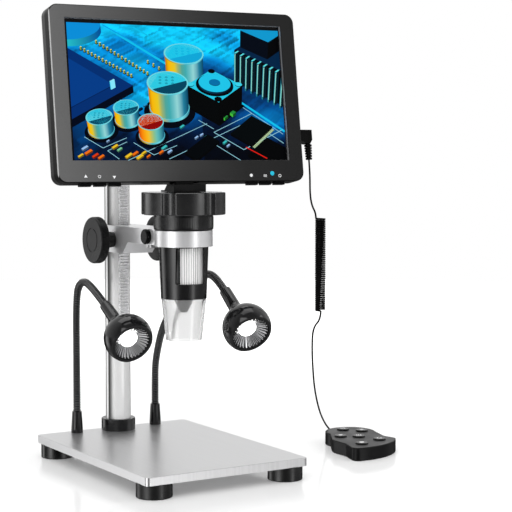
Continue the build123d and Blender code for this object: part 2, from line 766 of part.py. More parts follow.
wheel_bottom = flange_top + free_gap
neck_bottom = wheel_top + free_gap
wheel_radius = wheel_diameter / 2
valley_centre = wheel_radius - wheel_valley_depth + wheel_valley_radius
with BuildPart() as focus_wheel:
    with BuildSketch(Plane.XY.offset(wheel_bottom)):
        Circle(wheel_radius)
        with PolarLocations(
            valley_centre, wheel_lobes, start_angle=head_yaw + wheel_lobe_phase + 180 / wheel_lobes
        ):
            Circle(wheel_valley_radius, mode=Mode.SUBTRACT)
    extrude(amount=wheel_top - wheel_bottom)
    fillet(focus_wheel.edges().filter_by(Axis.Z), wheel_rounding)
    chamfer(focus_wheel.edges().group_by(Axis.Z)[0] + focus_wheel.edges().group_by(Axis.Z)[-1], plate_bevel)
    with BuildSketch(Plane.XY.offset(drum_top)):
        Circle(wheel_hub_diameter / 2)
    extrude(amount=wheel_bottom - drum_top)
    with BuildSketch(Plane.XY.offset(drum_top)):
        Circle(column_radius + run_gap)
    extrude(amount=wheel_top - drum_top, mode=Mode.SUBTRACT)
keep(focus_wheel, "focus_wheel")

drum_radius = drum_diameter / 2
rib_step = 360 / drum_rib_count
with BuildPart() as focus_drum:
    with BuildSketch(Plane.XY.offset(drum_bottom)):
        with BuildLine():
            Polyline(
                *[
                    (
                        (drum_radius - drum_rib_depth * (corner % 4 > 1)) * math.cos(math.radians(turn)),
                        (drum_radius - drum_rib_depth * (corner % 4 > 1)) * math.sin(math.radians(turn)),
                    )
                    for corner, turn in (
                        (corner, rib_step * (corner // 4 + (0.05, 0.45, 0.55, 0.95)[corner % 4]))
                        for corner in range(4 * drum_rib_count)
                    )
                ],
                close=True,
            )
        make_face()
        Circle(drum_bore / 2, mode=Mode.SUBTRACT)
    extrude(amount=drum_top - drum_plate - drum_bottom)
    with BuildSketch(Plane.XY.offset(drum_top - drum_plate)):
        Circle(drum_radius)
        Circle(column_radius + run_gap, mode=Mode.SUBTRACT)
    extrude(amount=drum_plate)
keep(focus_drum, "focus_drum")

pin_slot = drive_pin_diameter + 2 * run_gap
with BuildPart() as neck_block:
    with BuildSketch(head_side.offset(-neck_width / 2)):
        with BuildLine():
            Polyline(
                (-neck_depth / 2, neck_bottom),
                (neck_depth / 2, neck_bottom),
                (neck_depth / 2, neck_back_top),
                (hinge_y + neck_slope_back, neck_back_top),
                (hinge_y + neck_slope_front, neck_front_top),
                (-neck_depth / 2, neck_front_top),
                close=True,
            )
        make_face()
    extrude(amount=neck_width)
    with BuildSketch(head_side.offset(-tongue_width / 2)):
        with Locations((hinge_y, hinge_z)):
            Circle(tongue_radius)
        with Locations((hinge_y, (hinge_z + neck_bottom) / 2)):
            Rectangle(2 * tongue_radius, hinge_z - neck_bottom)
    extrude(amount=tongue_width)
    with BuildSketch(Plane.XY.offset(bulkhead_z + bulkhead_thickness)):
        Circle(column_radius)
    extrude(amount=neck_bottom - bulkhead_z - bulkhead_thickness)
    with BuildSketch(Plane.XY.offset(bulkhead_z + bulkhead_thickness)):
        Circle(column_bore / 2)
    extrude(amount=column_shoulder - bulkhead_z - bulkhead_thickness, mode=Mode.SUBTRACT)
    with BuildSketch(Plane.XY.offset(column_shoulder)):
        Circle(cable_bore / 2)
    extrude(amount=neck_bottom + cut_margin - column_shoulder, mode=Mode.SUBTRACT)
    # the two slots that the lens carrier's drive pins slide in
    with BuildSketch(head_side.offset(-column_diameter / 2 - cut_margin)):
        with Locations((0, drive_pin_z)):
            SlotCenterToCenter(2 * lens_travel + 2 * free_gap, pin_slot, rotation=90)
    extrude(amount=column_diameter + 2 * cut_margin, mode=Mode.SUBTRACT)
    with BuildSketch(head_side.offset(-tongue_width / 2)):
        with Locations((hinge_y, hinge_z)):
            Circle(hinge_pin_diameter / 2 + run_gap)
    extrude(amount=tongue_width, mode=Mode.SUBTRACT)
keep(neck_block, "neck_block")

with BuildPart() as sensor_board:
    with BuildSketch(Plane.XY.offset(column_shoulder - board_thickness)):
        Circle(column_bore / 2 - run_gap)
    extrude(amount=board_thickness)
    with BuildSketch(head_plane.offset(column_shoulder - board_thickness)):
        Rectangle(sensor_side, sensor_side)
    extrude(amount=-sensor_height)
keep(sensor_board, "sensor_board")

carrier_top = column_shoulder - carrier_head_room
carrier_radius = column_bore / 2 - run_gap
with BuildPart() as lens_carrier:
    with BuildSketch(Plane.XZ):
        with BuildLine():
            Polyline(
                (nose_aperture / 2, nose_tip_z),
                (nose_tip_diameter / 2, nose_tip_z),
                (carrier_radius, nose_shoulder_z),
                (carrier_radius, carrier_top),
                (carrier_bore / 2, carrier_top),
                (carrier_bore / 2, lens_seat_z),
                (carrier_bore / 2 - 1, lens_seat_z),
                close=True,
            )
        make_face()
    revolve(axis=Axis.Z)
    with BuildSketch(head_side.offset(carrier_bore / 2)):
        with Locations((0, drive_pin_z)):
            Circle(drive_pin_diameter / 2)
    extrude(amount=drive_pin_reach - carrier_bore / 2)
    with BuildSketch(head_side.offset(-carrier_bore / 2)):
        with Locations((0, drive_pin_z)):
            Circle(drive_pin_diameter / 2)
    extrude(amount=carrier_bore / 2 - drive_pin_reach)
keep(lens_carrier, "lens_carrier")

lens_radius = carrier_bore / 2 - run_gap
with BuildPart() as objective_lens:
    with BuildSketch(Plane.XZ):
        with BuildLine():
            Line((0, lens_seat_z - lens_curve_rise / 2), (0, lens_seat_z + lens_thickness))
            RadiusArc(
                (0, lens_seat_z + lens_thickness),
                (lens_radius, lens_seat_z + lens_thickness - lens_curve_rise),
                (lens_radius**2 + lens_curve_rise**2) / (2 * lens_curve_rise),
            )
            Line(
                (lens_radius, lens_seat_z + lens_thickness - lens_curve_rise),
                (lens_radius, lens_seat_z),
            )
            Line((lens_radius, lens_seat_z), (carrier_bore / 2 - 1, lens_seat_z))
            Line((carrier_bore / 2 - 1, lens_seat_z), (0, lens_seat_z - lens_curve_rise / 2))
        make_face()
    revolve(axis=Axis.Z)
keep(objective_lens, "objective_lens")

# ================= screen =================
# The panel plane lies on the screen's front face, at its centre: x to the right, y up the
# screen, z towards the viewer.  Depths behind the front face are negative z.
tilt = math.radians(screen_tilt)
hinge_point = head_y * hinge_y + Vector(0, 0, hinge_z)
screen_up = head_y * math.sin(tilt) + Vector(0, 0, math.cos(tilt))
screen_front = head_x.cross(screen_up)
screen_centre = hinge_point + screen_front * hinge_depth + screen_up * (screen_height / 2 - hinge_rise)
panel_plane = Plane(screen_centre, x_dir=head_x, z_dir=screen_front)
hinge_up = hinge_rise - screen_height / 2          # the hinge's height on the panel plane
side_plane = Plane(screen_centre, x_dir=-screen_front, z_dir=head_x)   # x is depth, y is up
# the underside looks down: its y runs towards the viewer
under_plane = Plane(screen_centre - screen_up * (screen_height / 2), x_dir=head_x, z_dir=-screen_up)
bottom_inside = screen_wall - screen_height / 2
notch_half = tongue_width / 2 + notch_gap
notch_front = hinge_depth - tongue_radius - notch_gap
notch_radius = tongue_radius + notch_gap
button_depth = (screen_parting + notch_front) / 2
cover_screw_x = screen_width / 2 - cover_screw_inset_x
cover_screw_y = screen_height / 2 - cover_screw_inset_y
boss_spots = [(x * cover_screw_x, y * cover_screw_y) for x in (-1, 1) for y in (-1, 0, 1)]
opening_width = screen_width - 2 * border_side
opening_height = screen_height - border_top - border_bottom
opening_rise = (border_bottom - border_top) / 2
status_led_x = screen_width / 2 - status_led_inset
status_led_y = status_led_rise - screen_height / 2
screen_button_x = [screen_button_left - screen_width / 2 + screen_button_pitch * n for n in range(3)]
screen_button_x += [screen_width / 2 - screen_button_right - screen_button_pitch * n for n in (2, 1, 0)]
inner_width = screen_width - 2 * screen_wall
inner_height = screen_height - 2 * screen_wall
inner_corner = screen_corner - screen_wall

with BuildPart() as display_bezel:
    with BuildSketch(panel_plane.offset(-screen_parting)):
        RectangleRounded(screen_width, screen_height, screen_corner)
    extrude(amount=screen_parting)
    fillet(display_bezel.edges().group_by(Axis(screen_centre, screen_front))[-1], screen_front_rounding)
    with BuildSketch(panel_plane.offset(-screen_parting)):
        RectangleRounded(inner_width, inner_height, inner_corner)
    extrude(amount=screen_parting - screen_wall, mode=Mode.SUBTRACT)
    with BuildSketch(panel_plane.offset(-picture_depth)):
        with Locations((0, opening_rise)):
            Rectangle(opening_width + 2 * opening_rib, opening_height + 2 * opening_rib)
    extrude(amount=picture_depth - screen_wall)
    with BuildSketch(panel_plane.offset(-picture_depth)):
        with Locations((0, opening_rise)):
            Rectangle(opening_width, opening_height)
    extrude(amount=picture_depth, mode=Mode.SUBTRACT)
    with BuildSketch(panel_plane.offset(-screen_parting)):
        with Locations(*boss_spots):
            Circle(cover_boss_diameter / 2)
    extrude(amount=screen_parting - screen_wall)
    with BuildSketch(panel_plane.offset(-screen_parting)):
        with Locations(*boss_spots):
            Circle(cover_screw_diameter / 2 + thread_gap)
    extrude(amount=cover_screw_grip, mode=Mode.SUBTRACT)
    with BuildSketch(panel_plane.offset(-screen_wall)):
        with Locations((status_led_x, status_led_y)):
            Circle(status_led_diameter / 2 + run_gap)
    extrude(amount=screen_wall, mode=Mode.SUBTRACT)
    # the slots for the buttons in the bottom wall, and the notch for the neck's tongue
    with BuildSketch(under_plane):
        with Locations(*[(x, -button_depth) for x in screen_button_x]):
            Rectangle(screen_button_width + 2 * button_gap, screen_button_depth + 2 * button_gap)
    extrude(amount=-screen_wall, mode=Mode.SUBTRACT)
    with BuildSketch(side_plane.offset(-notch_half - lug_width - notch_gap)):
        with Locations(((notch_front + screen_parting) / 2, bottom_inside - screen_wall / 2)):
            Rectangle(screen_parting - notch_front, screen_wall)
    extrude(amount=2 * (notch_half + lug_width + notch_gap), mode=Mode.SUBTRACT)
    # the plug's way in
    with BuildSketch(side_plane.offset(inner_width / 2 - cut_margin)):
        with Locations((plug_from_front, plug_rise)):
            Circle(plug_tip_diameter / 2 + free_gap)
    extrude(amount=screen_wall + 2 * cut_margin, mode=Mode.SUBTRACT)
keep(display_bezel, "display_bezel")

panel_width = opening_width + 2 * panel_lap_side
panel_height = opening_height + panel_lap_top + panel_lap_bottom
panel_rise = opening_rise + (panel_lap_top - panel_lap_bottom) / 2
with BuildPart() as lcd_panel:
    with BuildSketch(panel_plane.offset(-picture_depth)):
        with Locations((0, panel_rise)):
            Rectangle(panel_width, panel_height)
    extrude(amount=-panel_thickness)
keep(lcd_panel, "lcd_panel")

board_back = main_board_depth + board_thickness
main_board_width = inner_width / 2 - main_board_side_room - main_board_left
main_board_x = main_board_left + main_board_width / 2
post_spread_x = main_board_width - 2 * post_inset
post_spread_y = main_board_height - 2 * post_inset
battery_width = main_board_left - battery_gap + inner_width / 2 - battery_side_room
battery_x = main_board_left - battery_gap - battery_width / 2
cover_plate_depth = screen_thickness - screen_wall
with BuildPart() as back_cover:
    with BuildSketch(panel_plane.offset(-screen_thickness)):
        RectangleRounded(screen_width, screen_height, screen_corner)
    extrude(amount=screen_thickness - screen_parting)
    fillet(back_cover.edges().group_by(Axis(screen_centre, screen_front))[0], screen_back_rounding)
    with BuildSketch(panel_plane.offset(-cover_plate_depth)):
        RectangleRounded(inner_width, inner_height, inner_corner)
    extrude(amount=cover_plate_depth - screen_parting, mode=Mode.SUBTRACT)
    with BuildSketch(panel_plane.offset(-screen_thickness + screen_wall / 2)):
        with Locations(*boss_spots):
            Circle(cover_boss_diameter / 2)
    extrude(amount=screen_thickness - screen_wall / 2 - screen_parting)
    with BuildSketch(panel_plane.offset(-cover_plate_depth)):
        with Locations((main_board_x, 0)):
            with GridLocations(post_spread_x, post_spread_y, 2, 2):
                Circle(post_diameter / 2)
    extrude(amount=cover_plate_depth - board_back)
    with BuildSketch(panel_plane.offset(-screen_thickness)):
        with Locations(*boss_spots):
            Circle(cover_screw_head / 2 + seat_gap)
    extrude(amount=cover_screw_head_height + screen_wall, mode=Mode.SUBTRACT)
    with BuildSketch(panel_plane.offset(-screen_thickness)):
        with Locations(*boss_spots):
            Circle(cover_screw_diameter / 2 + thread_gap)
    extrude(amount=screen_thickness - screen_parting, mode=Mode.SUBTRACT)
    # the hinge's two lugs, which reach forward over the bezel's bottom wall
    for side in (-1, 1):
        lug_plane = side_plane.offset(side * (notch_half + lug_width / 2) - lug_width / 2)
        lug_top = hinge_up + notch_radius
        with BuildSketch(lug_plane):
            with BuildLine():
                Polyline(
                    (notch_front + notch_gap, bottom_inside + notch_gap),
                    (screen_parting, bottom_inside + notch_gap),
                    (screen_parting, bottom_inside - screen_wall / 2),
                    (cover_plate_depth - screen_wall, bottom_inside - screen_wall / 2),
                    (cover_plate_depth + screen_wall / 2, bottom_inside + screen_back_rounding),
                    (cover_plate_depth + screen_wall / 2, lug_top),
                    (notch_front + notch_gap, lug_top),
                    close=True,
                )
            make_face()
        extrude(amount=lug_width)
    with BuildSketch(side_plane.offset(-notch_half)):
        with Locations((hinge_depth, hinge_up)):
            Circle(notch_radius)
        with Locations(((hinge_depth + screen_thickness) / 2, hinge_up + notch_radius - screen_height / 4)):
            Rectangle(screen_thickness - hinge_depth, screen_height / 2)
        with Locations((hinge_depth, hinge_up - screen_height / 4)):
            Rectangle(2 * notch_radius, screen_height / 2)
    extrude(amount=2 * notch_half, mode=Mode.SUBTRACT)
    with BuildSketch(side_plane.offset(-notch_half - lug_width - cut_margin)):
        with Locations((hinge_depth, hinge_up)):
            Circle(hinge_pin_diameter / 2 + thread_gap)
    extrude(amount=2 * (notch_half + lug_width + cut_margin), mode=Mode.SUBTRACT)
    with BuildSketch(side_plane.offset(inner_width / 2 - cut_margin)):
        with Locations((plug_from_front, plug_rise)):
            Circle(plug_tip_diameter / 2 + free_gap)
    extrude(amount=screen_wall + 2 * cut_margin, mode=Mode.SUBTRACT)
keep(back_cover, "back_cover")

with BuildPart() as hinge_pin:
    with BuildSketch(side_plane.offset(-notch_half - lug_width)):
        with Locations((hinge_depth, hinge_up)):
            Circle(hinge_pin_diameter / 2)
    extrude(amount=2 * (notch_half + lug_width))
keep(hinge_pin, "hinge_pin")

key_board_rise = screen_wall + 2 * button_gap + screen_button_flange_height + button_travel
with BuildPart() as main_board:
    with BuildSketch(panel_plane.offset(-board_back)):
        with Locations((main_board_x, 0)):
            Rectangle(main_board_width, main_board_height)
    extrude(amount=board_thickness)
    # sockets along the board's right edge, and the jack that takes the plug
    with BuildSketch(panel_plane.offset(-board_back)):
        with Locations((inner_width / 2 - port_length / 2 - seat_gap, port_rise)):
            with GridLocations(1, port_spacing, 1, 2):
                Rectangle(port_length, port_width)
        with Locations(((inner_width - main_board_side_room) / 2 - seat_gap, port_rise)):
            Rectangle(main_board_side_room, port_spacing)
    extrude(amount=-port_height)
    with BuildSketch(panel_plane.offset(-plug_from_front - jack_side / 2)):
        with Locations((inner_width / 2 - jack_side / 2 - seat_gap, plug_rise)):
            Rectangle(jack_side, jack_side)
    extrude(amount=jack_side)
    with BuildSketch(side_plane.offset(inner_width / 2 - jack_side)):
        with Locations((plug_from_front, plug_rise)):
            Circle(plug_tip_diameter / 2 + run_gap)
    extrude(amount=jack_side, mode=Mode.SUBTRACT)
    # the two key boards above the bottom buttons
    for middle in (screen_button_x[1], screen_button_x[4]):
        with BuildSketch(under_plane.offset(-key_board_rise)):
            with Locations((middle, -(screen_parting + screen_wall) / 2)):
                Rectangle(key_board_width, screen_parting - screen_wall)
        extrude(amount=-board_thickness)
keep(main_board, "main_board")

with BuildPart() as battery_pack:
    with BuildSketch(panel_plane.offset(-cover_plate_depth)):
        with Locations((battery_x, 0)):
            RectangleRounded(battery_width, battery_height, battery_corner)
    extrude(amount=battery_thickness)
    fillet(battery_pack.edges().filter_by(Axis(screen_centre, screen_up)), battery_thickness / 3)
keep(battery_pack, "battery_pack")

screw_seat_depth = screen_thickness - cover_screw_head_height - screen_wall
with BuildPart() as cover_screws:
    with BuildSketch(panel_plane.offset(-screw_seat_depth - cover_screw_head_height)):
        with Locations(*boss_spots):
            Circle(cover_screw_head / 2)
    extrude(amount=cover_screw_head_height)
    with BuildSketch(panel_plane.offset(-screw_seat_depth)):
        with Locations(*boss_spots):
            Circle(cover_screw_diameter / 2)
    extrude(amount=screw_seat_depth - screen_parting + cover_screw_grip - seat_gap)
keep(cover_screws, "cover_screws")

with BuildPart() as status_led:
    with BuildSketch(panel_plane.offset(-screen_wall)):
        with Locations((status_led_x, status_led_y)):
            Circle(status_led_diameter / 2)
    extrude(amount=screen_wall + status_led_proud)
    fillet(status_led.edges().group_by(Axis(screen_centre, screen_front))[-1], status_led_proud / 2)
keep(status_led, "status_led")

for number, x in enumerate(screen_button_x, start=1):
    with BuildPart() as display_button:
        with BuildSketch(under_plane.offset(screen_button_proud)):
            with Locations((x, -button_depth)):
                RectangleRounded(screen_button_width, screen_button_depth, screen_button_corner)
        extrude(amount=-screen_button_proud - screen_wall - button_gap)
        with BuildSketch(under_plane.offset(-screen_wall - button_gap)):
            with Locations((x, -button_depth)):
                Rectangle(
                    screen_button_width + 2 * screen_button_flange,
                    screen_button_depth + 2 * screen_button_flange,
                )
        extrude(amount=-screen_button_flange_height)
    keep(display_button, f"display_button_{number}")

# ================= gooseneck lamps =================
for side, name, route in ((-1, "left", left_neck_route), (1, "right", right_neck_route)):
    swing = math.radians(lamp_swing)
    foot = Vector(side * lamp_x, lamp_y, 0)
    ahead = Vector(side * math.sin(swing), -math.cos(swing), 0)
    bend_axis = ahead.cross(Vector(0, 0, 1))
    inward = Vector(0, 0, -side).cross(ahead)
    corners = [foot + ahead * reach + inward * shift + Vector(0, 0, height) for reach, height, shift in route]
    pivot = corners[0]

    with BuildPart() as lamp_foot:
        with BuildSketch(Plane(foot, x_dir=(1, 0, 0), z_dir=(0, -1, 0))):
            with BuildLine():
                Polyline(
                    (0, plate_bottom - lamp_nut_height - lamp_stud_end),
                    (lamp_stud_diameter / 2, plate_bottom - lamp_nut_height - lamp_stud_end),
                    (lamp_stud_diameter / 2, 0),
                    (lamp_foot_base / 2, 0),
                    (lamp_foot_base / 2, lamp_foot_base / 4),
                    (lamp_foot_top / 2, lamp_foot_height),
                    (neck_diameter / 2 + run_gap, lamp_foot_height),
                    (neck_diameter / 2 + run_gap, neck_seat_z),
                    (0, neck_seat_z),
                    close=True,
                )
            make_face()
        revolve(axis=Axis(foot, (0, 0, 1)))
        with BuildSketch(Plane(foot + Vector(0, 0, plate_bottom), x_dir=(1, 0, 0), z_dir=(0, 0, -1))):
            RegularPolygon(lamp_nut_size / 2, 6, major_radius=False)
            Circle(lamp_stud_diameter / 2 + thread_gap, mode=Mode.SUBTRACT)
        extrude(amount=lamp_nut_height)
    keep(lamp_foot, f"lamp_foot_{name}")

    with BuildPart() as neck_lower:
        with BuildSketch(Plane(foot + Vector(0, 0, neck_seat_z), x_dir=(1, 0, 0), z_dir=(0, 0, 1))):
            Circle(neck_diameter / 2)
        extrude(amount=pivot.Z - neck_joint_room - neck_seat_z)
        with BuildSketch(Plane(pivot - bend_axis * (knuckle_width / 2), z_dir=bend_axis)):
            Circle(knuckle_radius)
        extrude(amount=knuckle_width)
    keep(neck_lower, f"neck_lower_{name}")

    path_points = [pivot + Vector(0, 0, neck_joint_room)] + corners[1:]
    with BuildPart() as neck_upper:
        with BuildLine() as neck_path:
            FilletPolyline(*path_points, radius=corner_radii(path_points))
        with BuildSketch(Plane(neck_path.wire() @ 0, z_dir=neck_path.wire() % 0)):
            Circle(neck_diameter / 2)
        sweep()
        with BuildSketch(Plane(pivot - bend_axis * (knuckle_width / 2 + knuckle_gap), z_dir=bend_axis)):
            Circle(knuckle_radius + knuckle_gap)
        extrude(amount=knuckle_width + 2 * knuckle_gap, mode=Mode.SUBTRACT)
    keep(neck_upper, f"neck_upper_{name}")
    print("gooseneck", name, "length", round(neck_path.wire().length + pivot.Z - neck_seat_z, 1))

    beam = (corners[-1] - corners[-2]).normalized()
    across = beam.cross(Vector(0, 0, 1)).normalized()
    sleeve_start = corners[-1] - beam * neck_insertion
    lamp_plane = Plane(sleeve_start, x_dir=across, z_dir=across.cross(beam))   # y runs along the beam
    lamp_axis = Axis(sleeve_start, beam)
    shoulder_radius = math.sqrt(bulb_radius**2 - bulb_shoulder**2)
    rim_radius = math.sqrt(bulb_radius**2 - (bulb_rim - bulb_centre) ** 2)
    bulb_inside = bulb_radius - bulb_wall
    inner_rim_radius = math.sqrt(bulb_inside**2 - (bulb_rim - bulb_centre) ** 2)
    inner_back_radius = sleeve_end_diameter / 2 + bulb_wall
    inner_back = bulb_centre - math.sqrt(bulb_inside**2 - inner_back_radius**2)
    with BuildPart() as lamp_shell:
        with BuildSketch(lamp_plane):
            with BuildLine():
                Line((neck_diameter / 2 + run_gap, 0), (sleeve_diameter / 2, 0))
                Line((sleeve_diameter / 2, 0), (sleeve_end_diameter / 2, sleeve_length))
                Spline(
                    (sleeve_end_diameter / 2, sleeve_length),
                    (shoulder_radius, bulb_centre - bulb_shoulder),
                    tangents=[(0.05, 1), (bulb_shoulder, shoulder_radius)],
                )
                ThreePointArc(
                    (shoulder_radius, bulb_centre - bulb_shoulder),
                    (bulb_radius, bulb_centre),
                    (rim_radius, bulb_rim),
                )
                Line((rim_radius, bulb_rim), (inner_rim_radius, bulb_rim))
                ThreePointArc(
                    (inner_rim_radius, bulb_rim),
                    (bulb_inside, bulb_centre),
                    (inner_back_radius, inner_back),
                )
                Line((inner_back_radius, inner_back), (neck_diameter / 2 + run_gap, inner_back))
                Line((neck_diameter / 2 + run_gap, inner_back), (neck_diameter / 2 + run_gap, 0))
            make_face()
        revolve(axis=lamp_axis)
    keep(lamp_shell, f"lamp_shell_{name}")

    emitter_back = bulb_rim - reflector_depth - emitter_thickness
    reflector_mouth = inner_rim_radius - reflector_gap
    with BuildPart() as lamp_reflector:
        with BuildSketch(lamp_plane):
            with BuildLine():
                Polyline(
                    (reflector_mouth - reflector_wall, bulb_rim - reflector_gap),
                    (reflector_mouth, bulb_rim - reflector_gap),
                    (emitter_diameter / 2 + 2 * reflector_wall, emitter_back),
                    (emitter_diameter / 2 + run_gap, emitter_back),
                    (emitter_diameter / 2 + run_gap, bulb_rim - reflector_depth),
                    close=True,
                )
            make_face()
        revolve(axis=lamp_axis)
    keep(lamp_reflector, f"lamp_reflector_{name}")

    with BuildPart() as lamp_emitter:
        with BuildSketch(Plane(sleeve_start + beam * emitter_back, x_dir=across, z_dir=beam)):
            Circle(emitter_diameter / 2)
        extrude(amount=emitter_thickness)
        fillet(lamp_emitter.edges().sort_by(Axis(sleeve_start, beam))[-1], emitter_thickness / 3)
    keep(lamp_emitter, f"lamp_emitter_{name}")

# ================= remote =================
plug_x = screen_width / 2
relief_x = plug_x + plug_reach - relief_inset
coil_x = relief_x + coil_out
remote_x = coil_x + remote_out
remote_y = coil_y + remote_back
floor_plane = Plane((remote_x, remote_y, floor_z), x_dir=(1, 0, 0), z_dir=(0, 0, 1))


def dome_point(angle):
    return (
        dome_centre[0] + dome_radius * math.cos(math.radians(angle)),
        dome_centre[1] + dome_radius * math.sin(math.radians(angle)),
    )


left_side = [(x, y) for x, y, rounding in left_corners]
right_side = [(x, y) for x, y, rounding in right_corners]
with BuildSketch() as remote_outline:
    with BuildLine():
        ThreePointArc(dome_point(dome_start), dome_point(90), dome_point(dome_end))
        Polyline(dome_point(dome_end), *left_side)
        ThreePointArc(left_side[-1], front_middle, right_side[0])
        Polyline(*right_side, dome_point(dome_start))
    make_face()
    for x, y, rounding in left_corners + right_corners:
        fillet(remote_outline.vertices().sort_by_distance((x, y))[0], rounding)

remote_board_top = (
    floor_z + remote_height - remote_wall - remote_flange_height - button_travel - 2 * button_gap
)
entry_way = Vector(math.cos(math.radians(entry_angle)), math.sin(math.radians(entry_angle)), 0)
dome_middle = Vector(remote_x + dome_centre[0], remote_y + dome_centre[1], floor_z + entry_rise)
remote_entry = dome_middle + entry_way * (dome_radius - remote_wall)

with BuildPart() as remote_base:
    with BuildSketch(floor_plane):
        add(remote_outline.sketch)
    extrude(amount=remote_base_height)
    with BuildSketch(floor_plane.offset(remote_wall)):
        add(remote_outline.sketch)
        offset(amount=-remote_wall)
    extrude(amount=remote_base_height - remote_wall, mode=Mode.SUBTRACT)
    with BuildSketch(floor_plane.offset(remote_wall)):
        with Locations(*remote_post_spots):
            Circle(post_diameter / 2)
    extrude(amount=remote_board_top - remote_board_thickness - floor_z - remote_wall)
    chamfer(remote_base.faces().sort_by(Axis.Z)[0].edges(), plate_bevel)
keep(remote_base, "remote_base")

with BuildPart() as remote_cover:
    with BuildSketch(floor_plane.offset(remote_base_height)):
        add(remote_outline.sketch)
    extrude(amount=remote_height - remote_base_height)
    fillet(remote_cover.faces().sort_by(Axis.Z)[-1].edges(), remote_edge)
    with BuildSketch(floor_plane.offset(remote_base_height)):
        add(remote_outline.sketch)
        offset(amount=-remote_wall)
    extrude(amount=remote_height - remote_base_height - remote_wall, mode=Mode.SUBTRACT)
    with BuildSketch(floor_plane.offset(remote_height)):
        with Locations(*remote_button_spots):
            Circle(remote_button_diameter / 2 + button_gap)
    extrude(amount=-remote_wall, mode=Mode.SUBTRACT)
    with BuildSketch(Plane(remote_entry, x_dir=(0, 0, 1), z_dir=entry_way)):
        Circle(cord_diameter / 2 + thread_gap)
    extrude(amount=2 * remote_wall, both=True, mode=Mode.SUBTRACT)
keep(remote_cover, "remote_cover")

with BuildPart() as remote_board:
    with BuildSketch(floor_plane.offset(remote_board_top - floor_z - remote_board_thickness)):
        add(remote_outline.sketch)
        offset(amount=-remote_wall - free_gap)
    extrude(amount=remote_board_thickness)
keep(remote_board, "remote_board")

for number, (x, y) in enumerate(remote_button_spots, start=1):
    with BuildPart() as remote_button:
        with BuildSketch(floor_plane.offset(remote_height + remote_button_proud)):
            with Locations((x, y)):
                Circle(remote_button_diameter / 2)
        extrude(amount=-remote_button_proud - remote_wall - button_gap)
        fillet(remote_button.edges().sort_by(Axis.Z)[-1], remote_button_proud * 0.7)
        with BuildSketch(floor_plane.offset(remote_height - remote_wall - button_gap)):
            with Locations((x, y)):
                Circle(remote_button_diameter / 2 + remote_flange)
        extrude(amount=-remote_flange_height)
    keep(remote_button, f"remote_button_{number}")

# ================= plug and cord =================
relief_top = plug_rise - plug_height / 2
relief_pitch = relief_length / relief_ribs
relief_depth_point = panel_plane.from_local_coords((relief_x, relief_top, -plug_from_front))
relief_plane = Plane(relief_depth_point, x_dir=head_x, z_dir=screen_front)
with BuildPart() as plug:
    with BuildSketch(panel_plane.offset(-plug_from_front - plug_depth / 2)):
        with BuildLine():
            Polyline(
                (plug_x, relief_top + plug_height),
                (plug_x + plug_reach, relief_top + plug_height),
                (plug_x + plug_reach, relief_top + plug_height / 4),
                (plug_x + plug_reach - plug_bevel, relief_top),
                (relief_x - relief_diameter / 2, relief_top),
                (plug_x, relief_top + plug_height / 3),
                close=True,
            )
        make_face()
    extrude(amount=plug_depth)
    with BuildSketch(side_plane.offset(plug_x - screen_wall - plug_tip_length)):
        with Locations((plug_from_front, plug_rise)):
            Circle(plug_tip_diameter / 2)
    extrude(amount=screen_wall + plug_tip_length)
    relief_outline = [(0, 0)]
    for rib in range(relief_ribs):
        rib_radius = (relief_diameter + (relief_end_diameter - relief_diameter) * rib / (relief_ribs - 1)) / 2
        top = -rib * relief_pitch
        relief_outline += [
            (rib_radius - relief_groove_depth, top),
            (rib_radius - relief_groove_depth, top - relief_groove_share * relief_pitch),
            (rib_radius, top - relief_groove_share * relief_pitch),
            (rib_radius, top - relief_pitch),
        ]
    relief_outline += [(0, -relief_length)]
    with BuildSketch(relief_plane):
        with BuildLine():
            Polyline(*relief_outline, close=True)
        make_face()
    revolve(axis=Axis(relief_depth_point, screen_up))
keep(plug, "plug")

cord_start = relief_depth_point - screen_up * relief_length
coil_top_middle = Vector(coil_x, coil_y, coil_top)
coil_bottom_middle = Vector(coil_x, coil_y, coil_bottom)
upper_points = [cord_start, cord_start - screen_up * relief_run]
upper_points += [coil_top_middle + Vector(corner) for corner in upper_lead_route]
lower_points = [coil_bottom_middle + Vector(corner) for corner in lower_lead_route]
lower_points += [remote_entry + entry_way * entry_run, remote_entry]
lead_routes = {"upper": upper_points, "lower": lower_points}
for name, points in lead_routes.items():
    radii = corner_radii(points)
    with BuildPart() as lead:
        with BuildLine() as lead_path:
            FilletPolyline(*points, radius=radii)
        with BuildSketch(Plane(lead_path.wire() @ 0, z_dir=lead_path.wire() % 0)):
            Circle(cord_diameter / 2)
        sweep()
    keep(lead, f"{name}_lead")
    expected = lead_path.wire().length * math.pi * cord_diameter**2 / 4
    print(name, "lead length", round(lead_path.wire().length, 1), "radii", [round(r, 1) for r in radii])
    print("volume", round(lead.part.volume, 2), "expected", round(expected, 2))

with BuildPart() as coil:
    with BuildSketch(Plane.XY.offset(coil_bottom)):
        with Locations((coil_x, coil_y)):
            Circle(coil_diameter / 2)
    extrude(amount=coil_top - coil_bottom)
keep(coil, "coil")
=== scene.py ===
from math import atan2, cos, floor, pi, radians, sin

import bpy
from mathutils import Matrix, Vector, noise


